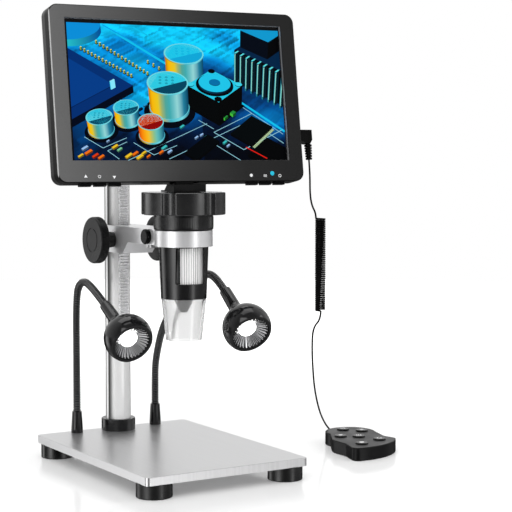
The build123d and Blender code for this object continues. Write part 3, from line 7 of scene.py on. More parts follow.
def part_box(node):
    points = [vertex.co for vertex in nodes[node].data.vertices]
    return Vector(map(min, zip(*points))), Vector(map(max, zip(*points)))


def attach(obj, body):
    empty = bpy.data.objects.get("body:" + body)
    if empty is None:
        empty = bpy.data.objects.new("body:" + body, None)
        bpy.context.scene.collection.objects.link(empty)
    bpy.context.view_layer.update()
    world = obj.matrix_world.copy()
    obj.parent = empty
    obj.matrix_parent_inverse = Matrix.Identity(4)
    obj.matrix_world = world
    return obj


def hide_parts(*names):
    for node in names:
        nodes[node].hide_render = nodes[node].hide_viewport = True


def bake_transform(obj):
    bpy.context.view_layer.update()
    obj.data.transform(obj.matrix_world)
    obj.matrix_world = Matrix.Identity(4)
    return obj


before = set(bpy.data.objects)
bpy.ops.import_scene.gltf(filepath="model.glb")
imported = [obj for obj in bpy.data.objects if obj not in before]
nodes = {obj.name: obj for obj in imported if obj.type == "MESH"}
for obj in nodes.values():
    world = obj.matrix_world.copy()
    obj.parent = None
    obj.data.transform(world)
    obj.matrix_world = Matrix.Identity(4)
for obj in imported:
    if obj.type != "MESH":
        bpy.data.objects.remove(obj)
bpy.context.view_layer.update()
mm = 0.001
print("frame loaded,", len(nodes), "nodes")

# how the head and the screen stand at rest
screenRest = {
    "yaw": radians(-4.8),         # the head's turn in its clamp
    "lean": radians(8.7),         # how far the screen leans back
    "hingeBack": 4 * mm,          # behind the barrel's axis
    "hingeHeight": 236 * mm,
    "hingeInset": 7.5 * mm,       # above the screen's lower edge
    "hingeToFront": 9.6 * mm,
    "height": 147.5 * mm,
}
headRight = Vector((cos(screenRest["yaw"]), sin(screenRest["yaw"]), 0))
headBack = Vector((-sin(screenRest["yaw"]), cos(screenRest["yaw"]), 0))
screenUp = headBack * sin(screenRest["lean"]) + Vector((0, 0, cos(screenRest["lean"])))
screenFront = headRight.cross(screenUp)
hingeSpot = headBack * screenRest["hingeBack"] + Vector((0, 0, screenRest["hingeHeight"]))
screenMiddle = (hingeSpot + screenFront * screenRest["hingeToFront"]
                + screenUp * (screenRest["height"] / 2 - screenRest["hingeInset"]))
sides = ("left", "right")


def axesFrame(right, up, out, spot):
    grid = Matrix((right, up, out)).transposed().to_4x4()
    grid.translation = spot
    return grid


screenFrame = axesFrame(headRight, screenUp, screenFront, screenMiddle)


def selectNone():
    bpy.ops.object.select_all(action="DESELECT")


def selectOnly(*objs):
    selectNone()
    for obj in objs:
        obj.select_set(True)
    bpy.context.view_layer.objects.active = objs[0]


def newPiece(name):
    obj = bpy.context.active_object
    obj.name = obj.data.name = name
    return obj


def openMesh(obj, kind, chosen):
    # edit mode, with the vertices or faces that the test picks
    selectOnly(obj)
    bpy.ops.object.mode_set(mode="EDIT")
    bpy.ops.mesh.select_mode(type=kind)
    bpy.ops.mesh.select_all(action="DESELECT")
    bpy.ops.object.mode_set(mode="OBJECT")
    for item in obj.data.vertices if kind == "VERT" else obj.data.polygons:
        item.select = chosen(item)
    bpy.ops.object.mode_set(mode="EDIT")


def closeMesh():
    bpy.ops.object.mode_set(mode="OBJECT")


def applyModifier(obj, kind, **values):
    selectOnly(obj)
    modifier = obj.modifiers.new(kind.lower(), kind)
    for key, value in values.items():
        setattr(modifier, key, value)
    bpy.ops.object.modifier_apply(modifier=modifier.name)


def putIn(obj, grid=None):
    # moves a piece made at the origin to its frame, and leaves its place in the mesh
    selectOnly(obj)
    if grid is not None:
        obj.matrix_world = grid @ obj.matrix_world
    bpy.ops.object.transform_apply(location=True, rotation=True, scale=True)


def smoothOver(obj, angle):
    selectOnly(obj)
    bpy.ops.object.shade_smooth_by_angle(angle=radians(angle))


def joinPieces(parts, name):
    selectOnly(*parts)
    bpy.ops.object.join()
    return newPiece(name)


def placedPiece(name):
    # a primitive's place and size go into its mesh
    obj = newPiece(name)
    putIn(obj)
    return obj


def roundPiece(name, faces, radius, depth, spot=(0, 0, 0), ends="NGON"):
    selectNone()
    bpy.ops.mesh.primitive_cylinder_add(vertices=faces, radius=radius, depth=depth, end_fill_type=ends,
                                        location=spot)
    return placedPiece(name)


def blockPiece(name, size, spot=(0, 0, 0)):
    selectNone()
    bpy.ops.mesh.primitive_cube_add(size=1, location=spot, scale=size)
    return placedPiece(name)


def dropFaces(obj, chosen):
    openMesh(obj, "FACE", chosen)
    bpy.ops.mesh.delete(type="FACE")
    closeMesh()


def pressFlutes(obj, count, depth, low=-1.0):
    # every other strip above the low height goes in by a share of its distance from the axis
    step = pi / (2 * count)
    openMesh(obj, "VERT", lambda v: v.co.z > low and round(atan2(v.co.y, v.co.x) / step) % 4 in (0, 1))
    bpy.ops.transform.resize(value=(1 - depth, 1 - depth, 1), center_override=(0, 0, 0))
    closeMesh()


def thicken(obj, wall, edge):
    applyModifier(obj, "SOLIDIFY", thickness=wall, offset=-1.0)
    applyModifier(obj, "BEVEL", width=edge, segments=2)
    smoothOver(obj, 30)


looks = {}      # every material by its name


def finishPiece(obj, body, look):
    if look:
        obj.data.materials.clear()
        obj.data.materials.append(looks[look])
    if body:
        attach(obj, body)


def dress(look, *names):
    for name in names:
        mesh = nodes[name].data
        mesh.materials.clear()
        mesh.materials.append(looks[look])


def setValues(target, **values):
    # a setting or a socket by its name, with _ for a space
    for key, value in values.items():
        if hasattr(target, key):
            setattr(target, key, value)
        else:
            target.inputs[key.replace("_", " ")].default_value = value
    return target


def addNode(tree, kind, **values):
    return setValues(tree.nodes.new("ShaderNode" + kind), **values)


def wire(tree, *lines):
    # each line joins a node's output to a node's input
    for start, output, end, entry in lines:
        tree.links.new(start.outputs[output], end.inputs[entry])


def spreadMap(tree, fromLow, fromHigh, low=0.0, high=1.0):
    return addNode(tree, "MapRange", interpolation_type="SMOOTHSTEP", From_Min=fromLow, From_Max=fromHigh,
                   To_Min=low, To_Max=high)


def toneMix(tree, first=None, second=None):
    node = addNode(tree, "Mix", data_type="RGBA")
    for entry, tone in ((6, first), (7, second)):
        if tone is not None:
            node.inputs[entry].default_value = (*tone, 1)
    return node


def toneRamp(tree, stops):
    node = addNode(tree, "ValToRGB")
    ramp = node.color_ramp
    while len(ramp.elements) < len(stops):
        ramp.elements.new(0.5)
    for element, (at, level) in zip(ramp.elements, stops):
        element.position = at
        element.color = (level, level, level, 1)
    return node


def newGroup(name, inputs, outputs):
    group = bpy.data.node_groups.new(name, "ShaderNodeTree")
    for title, (kind, value) in inputs.items():
        socket = group.interface.new_socket(title, in_out="INPUT", socket_type="NodeSocket" + kind)
        if value is not None:
            socket.default_value = value
    for title, kind in outputs.items():
        group.interface.new_socket(title, in_out="OUTPUT", socket_type="NodeSocket" + kind)
    return group, group.nodes.new("NodeGroupInput"), group.nodes.new("NodeGroupOutput")


def grainGroup():
    # fine moulded or blasted grain: a height for bump and a mask for finish
    group, inside, outside = newGroup(
        "fineGrain", {"Vector": ("Vector", None), "Scale": ("Float", 900.0)},
        {"Height": "Float", "Mask": "Float"},
    )
    grains = addNode(group, "TexNoise", Detail=3.0, Roughness=0.6)
    clouds = addNode(group, "TexNoise", Scale=38.0, Detail=4.0)
    wire(group, (inside, "Vector", grains, "Vector"), (inside, "Vector", clouds, "Vector"),
         (inside, "Scale", grains, "Scale"), (grains, "Fac", outside, "Height"),
         (clouds, "Fac", outside, "Mask"))
    return group


def brushGroup():
    # lines left by brushing or turning: the noise is squeezed along the brush
    group, inside, outside = newGroup(
        "brushedLines", {"Vector": ("Vector", None), "Stretch": ("Vector", (40.0, 900.0, 900.0))},
        {"Height": "Float", "Mask": "Float"},
    )
    squeeze = addNode(group, "VectorMath", operation="MULTIPLY")
    lines = addNode(group, "TexNoise", Scale=1.0, Detail=3.0, Roughness=0.65)
    spread = addNode(group, "MapRange", From_Min=0.3, From_Max=0.7)
    wire(group, (inside, "Vector", squeeze, 0), (inside, "Stretch", squeeze, 1),
         (squeeze, "Vector", lines, "Vector"), (lines, "Fac", spread, "Value"),
         (lines, "Fac", outside, "Height"), (spread, "Result", outside, "Mask"))
    return group


def handlingGroup():
    # two tones and two finishes mixed by a mask, as handling and dust leave them
    group, inside, outside = newGroup(
        "handling",
        {"Mask": ("Float", 0.5), "Clean": ("Color", (0.1, 0.1, 0.1, 1)),
         "Worn": ("Color", (0.2, 0.2, 0.2, 1)), "Smooth": ("Float", 0.2), "Dull": ("Float", 0.4)},
        {"Color": "Color", "Roughness": "Float"},
    )
    narrow = spreadMap(group, 0.36, 0.66)
    tones = toneMix(group)
    finish = addNode(group, "Mix", data_type="FLOAT")
    wire(group, (inside, "Mask", narrow, "Value"), (narrow, "Result", tones, 0),
         (narrow, "Result", finish, 0), (inside, "Clean", tones, 6), (inside, "Worn", tones, 7),
         (inside, "Smooth", finish, 2), (inside, "Dull", finish, 3), (tones, 2, outside, "Color"),
         (finish, 0, outside, "Roughness"))
    return group


def roundGroup():
    # how far round an upright axis a point lies, once or several times over
    group, inside, outside = newGroup(
        "roundTones", {"Vector": ("Vector", None), "Axis": ("Vector", (0, 0, 0)), "Turns": ("Float", 1.0)},
        {"Share": "Float"},
    )
    shift = addNode(group, "VectorMath", operation="SUBTRACT")
    parts = addNode(group, "SeparateXYZ")
    around = addNode(group, "Math", operation="ARCTAN2")
    turn = addNode(group, "MapRange", From_Min=-pi, From_Max=pi)
    repeated = addNode(group, "Math", operation="MULTIPLY")
    share = addNode(group, "Math", operation="FRACT")
    wire(group, (inside, "Vector", shift, 0), (inside, "Axis", shift, 1), (shift, "Vector", parts, 0),
         (parts, "X", around, 0), (parts, "Y", around, 1), (around, 0, turn, "Value"),
         (turn, "Result", repeated, 0), (inside, "Turns", repeated, 1), (repeated, 0, share, 0),
         (share, 0, outside, "Share"))
    return group


effects = {"grain": grainGroup(), "brush": brushGroup(), "handling": handlingGroup(), "round": roundGroup()}


def placeGroup(tree, key, **values):
    return addNode(tree, "Group", node_tree=effects[key], **values)


def newMaterial(name, **values):
    material = looks[name] = bpy.data.materials.new(name)
    material.use_nodes = True
    tree = material.node_tree
    return tree, setValues(tree.nodes["Principled BSDF"], **values)


def solidMaterial(name, clean, worn, smooth, dull, metallic=0.0, specular=0.5, grain=900.0, bump=20e-6,
                  brush=None):
    tree, shader = newMaterial(name, Metallic=metallic, Specular_IOR_Level=specular)
    place = addNode(tree, "TexCoord")
    source = placeGroup(tree, "brush", Stretch=brush) if brush else placeGroup(tree, "grain", Scale=grain)
    mixed = placeGroup(tree, "handling", Clean=(*clean, 1), Worn=(*worn, 1), Smooth=smooth, Dull=dull)
    relief = addNode(tree, "Bump", Strength=1.0, Distance=bump)
    wire(tree, (place, "Object", source, "Vector"), (source, "Mask", mixed, "Mask"),
         (source, "Height", relief, "Height"), (mixed, "Color", shader, "Base Color"),
         (mixed, "Roughness", shader, "Roughness"), (relief, "Normal", shader, "Normal"))
    return tree, shader


def litMaterial(name, color, strength):
    worn = [min(1, part * 1.1) for part in color]
    shader = solidMaterial(name, color, worn, 0.2, 0.3, specular=0.4)[1]
    setValues(shader, Emission_Color=(*color, 1), Emission_Strength=strength)


def clearMaterial(name, tint, roughness, clearness):
    tree, shader = newMaterial(name, Base_Color=(*tint, 1), IOR=1.49, Transmission_Weight=clearness)
    place = addNode(tree, "TexCoord")
    haze = placeGroup(tree, "grain", Scale=60.0)
    mixed = placeGroup(tree, "handling", Smooth=roughness, Dull=roughness * 2.5)
    wire(tree, (place, "Object", haze, "Vector"), (haze, "Mask", mixed, "Mask"),
         (mixed, "Roughness", shader, "Roughness"))


def tubeMaterial(name, stops, axis, metallic, roughness, specular=0.5, turns=1.0):
    # a tube whose base colour holds painted light as tones round its axis: painted reflection streaks on the
    # pole, painted shade in the drum's grooves
    tree, shader = newMaterial(name, Metallic=metallic, Roughness=roughness, Specular_IOR_Level=specular)
    place = addNode(tree, "TexCoord")
    around = placeGroup(tree, "round", Axis=axis, Turns=turns)
    lines = placeGroup(tree, "brush", Stretch=(160.0, 160.0, 4.0))
    relief = addNode(tree, "Bump", Strength=1.0, Distance=0.4e-6)
    tones = toneRamp(tree, stops)
    wire(tree, (place, "Object", around, "Vector"), (place, "Object", lines, "Vector"),
         (around, "Share", tones, 0), (lines, "Height", relief, "Height"),
         (tones, "Color", shader, "Base Color"), (relief, "Normal", shader, "Normal"))


# satin black with a painted sheen that falls off across the front from left to right, and a painted highlight
# line along the left front edge
bezelLook = {
    "black": (0.006, 0.006, 0.006),
    # painted sheen: light at the front's left, dark at its right
    "tones": [(0.0, 0.125), (0.25, 0.085), (0.5, 0.045), (0.75, 0.022), (1.0, 0.018)],
    "reach": 0.113,                 # how far the painted sheen's tones spread to each side, from left to right
    "ahead": (0.9, 0.99),           # how squarely the front looks ahead
    # tone of the painted highlight line
    "line": (0.5, 0.5, 0.5),
    "highlightSide": (0.1118, 0.1125),   # how far left of the screen's middle the painted highlight line starts
    "highlightNear": (-0.0012, -0.0004),
}


def bezelMaterial(name):
    tree, shader = solidMaterial(name, bezelLook["black"], (0.009, 0.009, 0.009), 0.28, 0.34, specular=0.04,
                                 grain=2200.0, bump=3e-6)
    place = addNode(tree, "TexCoord")
    parts = addNode(tree, "SeparateXYZ")
    spread = addNode(tree, "MapRange", From_Min=-bezelLook["reach"], From_Max=bezelLook["reach"])
    tones = toneRamp(tree, bezelLook["tones"])
    fromMiddle = addNode(tree, "VectorMath", operation="SUBTRACT")
    fromMiddle.inputs[1].default_value = screenMiddle
    ahead, outwards, forwards = [addNode(tree, "VectorMath", operation="DOT_PRODUCT") for _ in range(3)]
    for along, way in ((ahead, screenFront), (outwards, -headRight), (forwards, screenFront)):
        along.inputs[1].default_value = way
    front = spreadMap(tree, *bezelLook["ahead"])
    side = spreadMap(tree, *bezelLook["highlightSide"])
    near = spreadMap(tree, *bezelLook["highlightNear"])
    # mask of the painted highlight line along the left front edge
    highlightMask = addNode(tree, "Math", operation="MULTIPLY")
    # the front faces take the painted sheen's tones
    face = toneMix(tree, first=bezelLook["black"])
    # the painted highlight line is laid over the front's painted sheen
    line = toneMix(tree, second=bezelLook["line"])
    wire(tree, (place, "Object", parts, 0), (parts, "X", spread, "Value"), (spread, "Result", tones, 0),
         (place, "Normal", ahead, 0), (place, "Object", fromMiddle, 0), (fromMiddle, "Vector", outwards, 0),
         (fromMiddle, "Vector", forwards, 0), (ahead, "Value", front, "Value"),
         (outwards, "Value", side, "Value"), (forwards, "Value", near, "Value"), (side, "Result", highlightMask, 0),
         (near, "Result", highlightMask, 1), (front, "Result", face, 0), (tones, "Color", face, 7), (highlightMask, 0, line, 0),
         (face, 2, line, 6), (line, 2, shader, "Base Color"))


finishes = {
    # clean and worn tone, how rough each of them is, metallic, specular, grain, bump and brush
    "stageMetal": ((0.595, 0.595, 0.60), (0.625, 0.625, 0.63), 0.29, 0.33, 0.85, 0.5, 900.0, 0.6e-6,
                   (420.0, 8.0, 12.0)),
    "carriageMetal": ((0.74, 0.74, 0.75), (0.79, 0.79, 0.80), 0.28, 0.33, 0.6, 0.5, 700.0, 0.4e-6),
    "rackSteel": ((0.72, 0.72, 0.73), (0.80, 0.80, 0.81), 0.26, 0.38, 0.6, 0.5, 900.0, 2e-6,
                  (60.0, 500.0, 500.0)),
    "screwSteel": ((0.55, 0.55, 0.56), (0.66, 0.66, 0.67), 0.25, 0.4, 1.0),
    "footRubber": ((0.004, 0.004, 0.004), (0.009, 0.009, 0.009), 0.22, 0.34, 0.0, 0.4, 1400.0, 10e-6),
    "blackMetal": ((0.005, 0.005, 0.0055), (0.010, 0.010, 0.0105), 0.16, 0.26, 0.0, 0.45, 1600.0, 6e-6),
    # lighter, more metallic finish of the hose's crests, a painted highlight on its ribs
    "hoseCrestHighlight": ((0.024, 0.024, 0.025), (0.05, 0.05, 0.051), 0.16, 0.22, 0.4, 0.8),
    "hoseMetal": ((0.004, 0.004, 0.0045), (0.008, 0.008, 0.0085), 0.14, 0.2, 0.0, 0.7, 1600.0, 4e-6),
    "wheelBlack": ((0.005, 0.005, 0.0055), (0.009, 0.009, 0.0095), 0.2, 0.28, 0.0, 0.7, 1500.0, 6e-6),
    "knobBlack": ((0.010, 0.010, 0.0105), (0.014, 0.014, 0.0145), 0.26, 0.34, 0.0, 0.16, 1500.0, 5e-6),
    "neckBlack": ((0.0025, 0.0025, 0.0027), (0.004, 0.004, 0.0042), 0.24, 0.32, 0.0, 0.08),
    "blackSatin": ((0.0045, 0.0045, 0.005), (0.008, 0.008, 0.0085), 0.17, 0.24, 0.0, 0.42, 1500.0, 6e-6),
    "blackGloss": ((0.004, 0.004, 0.0045), (0.007, 0.007, 0.0075), 0.09, 0.16, 0.0, 0.4, 900.0, 2e-6),
    # light grey of the opening's lining, a painted highlight on its walls
    "trimHighlightGrey": ((0.30, 0.30, 0.31), (0.38, 0.38, 0.39), 0.2, 0.3, 0.4),
    "bearingPlastic": ((0.008, 0.008, 0.008), (0.014, 0.014, 0.014), 0.26, 0.38, 0.0, 0.4),
    "leadBlack": ((0.002, 0.002, 0.002), (0.004, 0.004, 0.004), 0.30, 0.40, 0.0, 0.06, 2500.0, 4e-6),
    "remoteBlack": ((0.004, 0.004, 0.0042), (0.007, 0.007, 0.0073), 0.30, 0.38, 0.0, 0.12, 1800.0, 10e-6),
    "buttonRubber": ((0.003, 0.003, 0.003), (0.005, 0.005, 0.005), 0.2, 0.26, 0.0, 0.22),
    "boardGreen": ((0.01, 0.10, 0.04), (0.015, 0.14, 0.06), 0.25, 0.4),
    "batteryGrey": ((0.30, 0.31, 0.33), (0.38, 0.39, 0.41), 0.3, 0.45, 0.4),
    "markWhite": ((0.80, 0.81, 0.82), (0.88, 0.88, 0.88), 0.35, 0.5),
    "reflectorBright": ((0.80, 0.80, 0.82), (0.90, 0.90, 0.92), 0.12, 0.2, 0.7),
    "panelDark": ((0.002, 0.002, 0.0025), (0.003, 0.003, 0.0035), 0.12, 0.2, 0.0, 0.2),
}
for name, values in finishes.items():
    solidMaterial(name, *values)
bezelMaterial("bezelBlack")
litMaterial("emitterWhite", (1.0, 1.0, 0.98), 4.0)
litMaterial("indicatorCyan", (0.01, 0.36, 0.50), 0.4)
clearMaterial("clearPlastic", (1.0, 1.0, 1.0), 0.06, 0.90)
clearMaterial("lensGlass", (0.95, 0.97, 1.0), 0.01, 1.0)

# painted reflection tones once round the pole, and painted shade across each rib of the drum
poleReflectionTones = [
    (0.0, 0.95), (0.045, 1.0), (0.11, 1.0), (0.123, 0.88), (0.136, 0.66), (0.15, 0.46), (0.165, 0.28),
    (0.181, 0.18), (0.197, 0.04), (0.208, 0.08), (0.222, 0.95), (0.245, 0.98), (0.27, 0.4), (0.30, 0.3),
    (0.46, 0.85), (0.52, 0.35), (0.56, 0.8), (0.74, 0.85), (0.80, 0.4), (0.84, 0.8), (1.0, 0.85),
]
drumGrooveShadeTones = [(0.0, 0.38), (0.18, 0.50), (0.32, 0.98), (0.86, 0.98), (1.0, 0.38)]
poleAxis = [(low + high) / 2 for low, high in zip(*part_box("pole"))][:2] + [0.0]
tubeMaterial("poleSteel", poleReflectionTones, poleAxis, 0.05, 0.22, specular=0.6)
tubeMaterial("drumSilver", drumGrooveShadeTones, (0.0, 0.0, 0.0), 0.1, 0.3, turns=54)


def eachSide(name):
    return [f"{name}_{side}" for side in sides]


def eachButton(name):
    return [f"{name}_button_{number}" for number in range(1, 7)]


dress("stageMetal", "base_plate")
dress("carriageMetal", "carriage")
dress("poleSteel", "pole")
dress("rackSteel", "gear_rack", "pinion_shaft")
dress("screwSteel", "stand_screws", "cover_screws", "hinge_pin")
dress("drumSilver", "focus_drum")
dress("footRubber", "rubber_feet")
dress("blackMetal", "pole_collar", "lens_carrier", *eachSide("lamp_foot"))
dress("hoseMetal", *eachSide("neck_lower"), *eachSide("neck_upper"))
dress("blackSatin", "pole_cap", "barrel_shell")
dress("wheelBlack", "focus_wheel")
dress("knobBlack", "focus_knobs", "back_cover")
dress("neckBlack", "neck_block", "clamp_screw", *eachButton("display"))
dress("bezelBlack", "display_bezel")
dress("blackGloss", *eachSide("lamp_shell"))
dress("bearingPlastic", "carriage_bushings")
dress("leadBlack", "plug", "upper_lead", "coil", "lower_lead")
dress("remoteBlack", "remote_base", "remote_cover")
dress("buttonRubber", *eachButton("remote"))
dress("boardGreen", "led_ring", "sensor_board", "main_board", "remote_board")
dress("batteryGrey", "battery_pack")
dress("emitterWhite", *eachSide("lamp_emitter"))
dress("reflectorBright", *eachSide("lamp_reflector"))
dress("indicatorCyan", "status_led")
dress("panelDark", "lcd_panel")
dress("clearPlastic", "clear_shield")
dress("lensGlass", "objective_lens")
print("materials done")


view = {
    "place": (-0.60854, -1.09998, 0.25246),
    "pitch": radians(86.12),
    "heading": radians(-31.745),
    "lens": 104.58,
    "sensor": 36,
    "nearest": 0.05,
}


def makeCamera():
    data = bpy.data.cameras.new("camera")
    data.lens = view["lens"]
    data.sensor_width = view["sensor"]
    data.clip_start = view["nearest"]
    camera = bpy.data.objects.new("camera", data)
    camera.location = view["place"]
    camera.rotation_euler = (view["pitch"], 0, view["heading"])
    bpy.context.scene.collection.objects.link(camera)
    bpy.context.scene.camera = camera


makeCamera()
bpy.context.scene.view_settings.view_transform = "Standard"


def routeCurve(name, points, radius=0.0, bevel=3, steps=8):
    # a smooth line with the route's corners as its control points
    data = bpy.data.curves.new(name, "CURVE")
    data.dimensions = "3D"
    data.resolution_u = steps
    spline = data.splines.new("NURBS")
    spline.points.add(len(points) - 1)
    for point, spot in zip(spline.points, points):
        point.co = (*spot, 1)
    spline.order_u = 3
    spline.use_endpoint_u = True
    data.bevel_depth = radius
    data.bevel_resolution = bevel
    data.use_fill_caps = radius > 0
    obj = bpy.data.objects.new(name, data)
    bpy.context.scene.collection.objects.link(obj)
    return obj


def lineOf(curve):
    # the curve's own points, with no thickness
    radius, curve.data.bevel_depth = curve.data.bevel_depth, 0.0
    bpy.context.view_layer.update()
    mesh = bpy.data.meshes.new_from_object(curve.evaluated_get(bpy.context.evaluated_depsgraph_get()))
    points = [vertex.co.copy() for vertex in mesh.vertices]
    bpy.data.meshes.remove(mesh)
    curve.data.bevel_depth = radius
    return points


def lengthOf(points):
    return sum((b - a).length for a, b in zip(points, points[1:]))


cord = {
    "diameter": 1.6 * mm,
    "coilAxis": Vector((134.3, -8.0, 0)) * mm,
    "coilTop": 197.4 * mm,
    "coilBottom": 113.6 * mm,
    "coilOutside": 9.7 * mm,
    "coilPitch": 1.68 * mm,
    "pointsPerTurn": 14,
    "reliefSpot": Vector((124.4, -39.5, -10.0)) * mm,      # on the screen's own plane
    "reliefLength": 14.0 * mm,
    "straightRun": 13.0 * mm,
    "upper": [(125.4, -4.5, 219.0), (127.2, -4.5, 208.3), (130.9, -5.9, 200.9), (130.9, -5.9, 197.4)],
    "lower": [
        (132.5, -11.6, 113.6), (132.5, -11.6, 107.2), (127.3, -7.0, 99.1), (128.2, -4.2, 82.0),
        (132.5, 1.0, 63.0), (142.1, 12.1, 39.4), (161.3, 32.5, 15.0), (181.7, 52.7, -1.8),
        (198.3, 67.5, -12.2), (208.0, 79.5, -16.0), (224.0, 80.5, -16.5),
    ],
    # the remote's dome that the cord enters, from which side, and how straight it runs there
    "domeMiddle": Vector((196.5, 32.5, -13.0)) * mm,
    "domeReach": 21.9 * mm,
    "entryAngle": radians(45),
    "entryRun": 18.6 * mm,
}


def cordMesh(name, points, bevel=3, steps=8):
    curve = routeCurve(name, points, cord["diameter"] / 2, bevel, steps)
    line = lineOf(curve)
    selectOnly(curve)
    bpy.ops.object.convert(target="MESH")
    tube = newPiece(name)
    smoothOver(tube, 60)
    return tube, line


def coilPoints(top, bottom):
    axis = cord["coilAxis"]
    radius = (cord["coilOutside"] - cord["diameter"]) / 2
    firstAngle = atan2(top.y - axis.y, top.x - axis.x)
    lastAngle = atan2(bottom.y - axis.y, bottom.x - axis.x)
    turns = floor((cord["coilTop"] - cord["coilBottom"] - cord["diameter"]) / cord["coilPitch"])
    sweep = turns * 2 * pi + (lastAngle - firstAngle) % (2 * pi)
    count = int(turns * cord["pointsPerTurn"])
    high = cord["coilTop"] - cord["diameter"] / 2
    low = cord["coilBottom"] + cord["diameter"] / 2
    points = []
    for step in range(count + 1):
        share = step / count
        angle = firstAngle + sweep * share
        height = high + (low - high) * share
        points.append((axis.x + radius * cos(angle), axis.y + radius * sin(angle), height))
    return points


upperPoints = [Vector(spot) * mm for spot in cord["upper"]]
lowerPoints = [Vector(spot) * mm for spot in cord["lower"]]
helixPoints = coilPoints(upperPoints[-1], lowerPoints[0])
upperPoints[-1] = Vector(helixPoints[0])
lowerPoints[0] = Vector(helixPoints[-1])
upperStart = screenFrame @ cord["reliefSpot"] - screenUp * cord["reliefLength"]
upperPoints = [upperStart, upperStart - screenUp * cord["straightRun"]] + upperPoints
entryWay = Vector((cos(cord["entryAngle"]), sin(cord["entryAngle"]), 0))
entrySpot = cord["domeMiddle"] + entryWay * cord["domeReach"]
lowerPoints += [entrySpot + entryWay * cord["entryRun"], entrySpot]

upperLead, upperLine = cordMesh("upperLead", upperPoints)
lowerLead, lowerLine = cordMesh("lowerLead", lowerPoints[::-1])
curlyLead, curlyLine = cordMesh("curlyLead", helixPoints, bevel=2, steps=2)
for lead, line, node, bodies, lay in (
    (upperLead, upperLine, "upper_lead", ("screen", "head"), "hanging"),
    (curlyLead, curlyLine, "coil", ("head", "carriage"), "coiled"),
    (lowerLead, lowerLine, "lower_lead", ("stand", "carriage"), "hanging"),
):
    finishPiece(lead, None, "leadBlack")
    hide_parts(node)
    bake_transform(lead)
    print(lead.name, "is", round(lengthOf(line) * 1000), "mm long")


gooseneck = {
    "footX": 40.2 * mm,
    "footY": 129.0 * mm,
    "lean": radians(3),
    "seat": 8.0 * mm,
    "crest": 3.45 * mm,
    "valley": 2.6 * mm,
    "ribPitch": 2.3 * mm,
    "ribSlope": 0.3,              # share of the pitch that each side of a rib takes
    "faces": 18,
    # how far ahead of the foot, how high and how far inwards the hose's corners are; the first is its joint
    "left": [(0, 64, 0), (0, 124, 0), (10, 139, 0), (34, 139, 0), (74.1, 117.3, 1.6)],
    "right": [
        (0, 40, 0), (1, 62, 0), (16, 98, 0), (52, 130, 0), (86, 149, 0), (107, 145.5, 0),
        (131.9, 129.3, 3.6),
    ],
    "jointReach": 6 * mm,         # how far to each side of the joint
    "insertion": 10.0 * mm,
}


def lampRoute(side):
    sign = -1 if side == "left" else 1
    foot = Vector((sign * gooseneck["footX"], gooseneck["footY"], 0))
    ahead = Vector((sign * sin(gooseneck["lean"]), -cos(gooseneck["lean"]), 0))
    inward = Vector((0, 0, -sign)).cross(ahead)
    return [foot + Vector((0, 0, gooseneck["seat"]))] + [
        foot + (ahead * reach + inward * shift) * mm + Vector((0, 0, height * mm))
        for reach, height, shift in gooseneck[side]
    ]


def makeRib(name, pitch):
    # one rib of the hose: out to the crest, along it and back in
    slope = pitch * gooseneck["ribSlope"]
    swell = gooseneck["crest"] / gooseneck["valley"]
    rib = roundPiece(name, gooseneck["faces"], gooseneck["valley"], slope, (0, 0, slope / 2), "NOTHING")
    openMesh(rib, "VERT", lambda v: v.co.z > slope / 2)
    bpy.ops.transform.resize(value=(swell, swell, 1), center_override=(0, 0, slope))
    bpy.ops.mesh.extrude_region_move(TRANSFORM_OT_translate={"value": (0, 0, pitch - 2 * slope)})
    bpy.ops.mesh.extrude_region_move(TRANSFORM_OT_translate={"value": (0, 0, slope)})
    bpy.ops.transform.resize(value=(1 / swell, 1 / swell, 1), center_override=(0, 0, pitch))
    closeMesh()
    putIn(rib, Matrix.Rotation(pi / 2, 4, "Y"))
    return rib


def makeHose(side):
    points = lampRoute(side)
    route = routeCurve("hoseRoute", points, steps=24)
    length = lengthOf(lineOf(route))
    count = round(length / gooseneck["ribPitch"])
    pitch = length / count
    hose = makeRib(f"hose_{side}", pitch)
    # the crests take the lighter finish as a painted highlight, the rest stays black
    for look in ("hoseMetal", "hoseCrestHighlight"):
        hose.data.materials.append(looks[look])
    for face in hose.data.polygons:
        face.material_index = gooseneck["ribSlope"] < face.center.x / pitch < 1 - gooseneck["ribSlope"]
    applyModifier(hose, "ARRAY", use_relative_offset=False, use_constant_offset=True, count=count,
                  constant_offset_displace=(pitch, 0, 0), use_merge_vertices=True, merge_threshold=0.01 * mm)
    applyModifier(hose, "CURVE", object=route, deform_axis="POS_X")
    openMesh(hose, "VERT", lambda v: True)
    bpy.ops.mesh.fill_holes(sides=0)
    bpy.ops.mesh.normals_make_consistent(inside=False)
    closeMesh()
    smoothOver(hose, 60)
    bpy.data.objects.remove(route)
    finishPiece(hose, None, None)
    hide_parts(f"neck_lower_{side}", f"neck_upper_{side}")
    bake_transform(hose)
    print(hose.name, "is", round(length * 1000), "mm long")
    return points


def lampFrame(points):
    beam = (points[-1] - points[-2]).normalized()
    across = beam.cross(Vector((0, 0, 1))).normalized()
    return axesFrame(across, beam.cross(across), beam, points[-1] - beam * gooseneck["insertion"])


reflector = {
    "flutes": 30,
    "mouth": 15.6 * mm,
    "throat": 7.4 * mm,
    "start": 52.3 * mm,       # along the beam, from the sleeve's open end
    "depth": 6.1 * mm,
    "fluteDepth": 0.10,
    "wall": 0.3 * mm,
    "lipWire": 0.4 * mm,
}


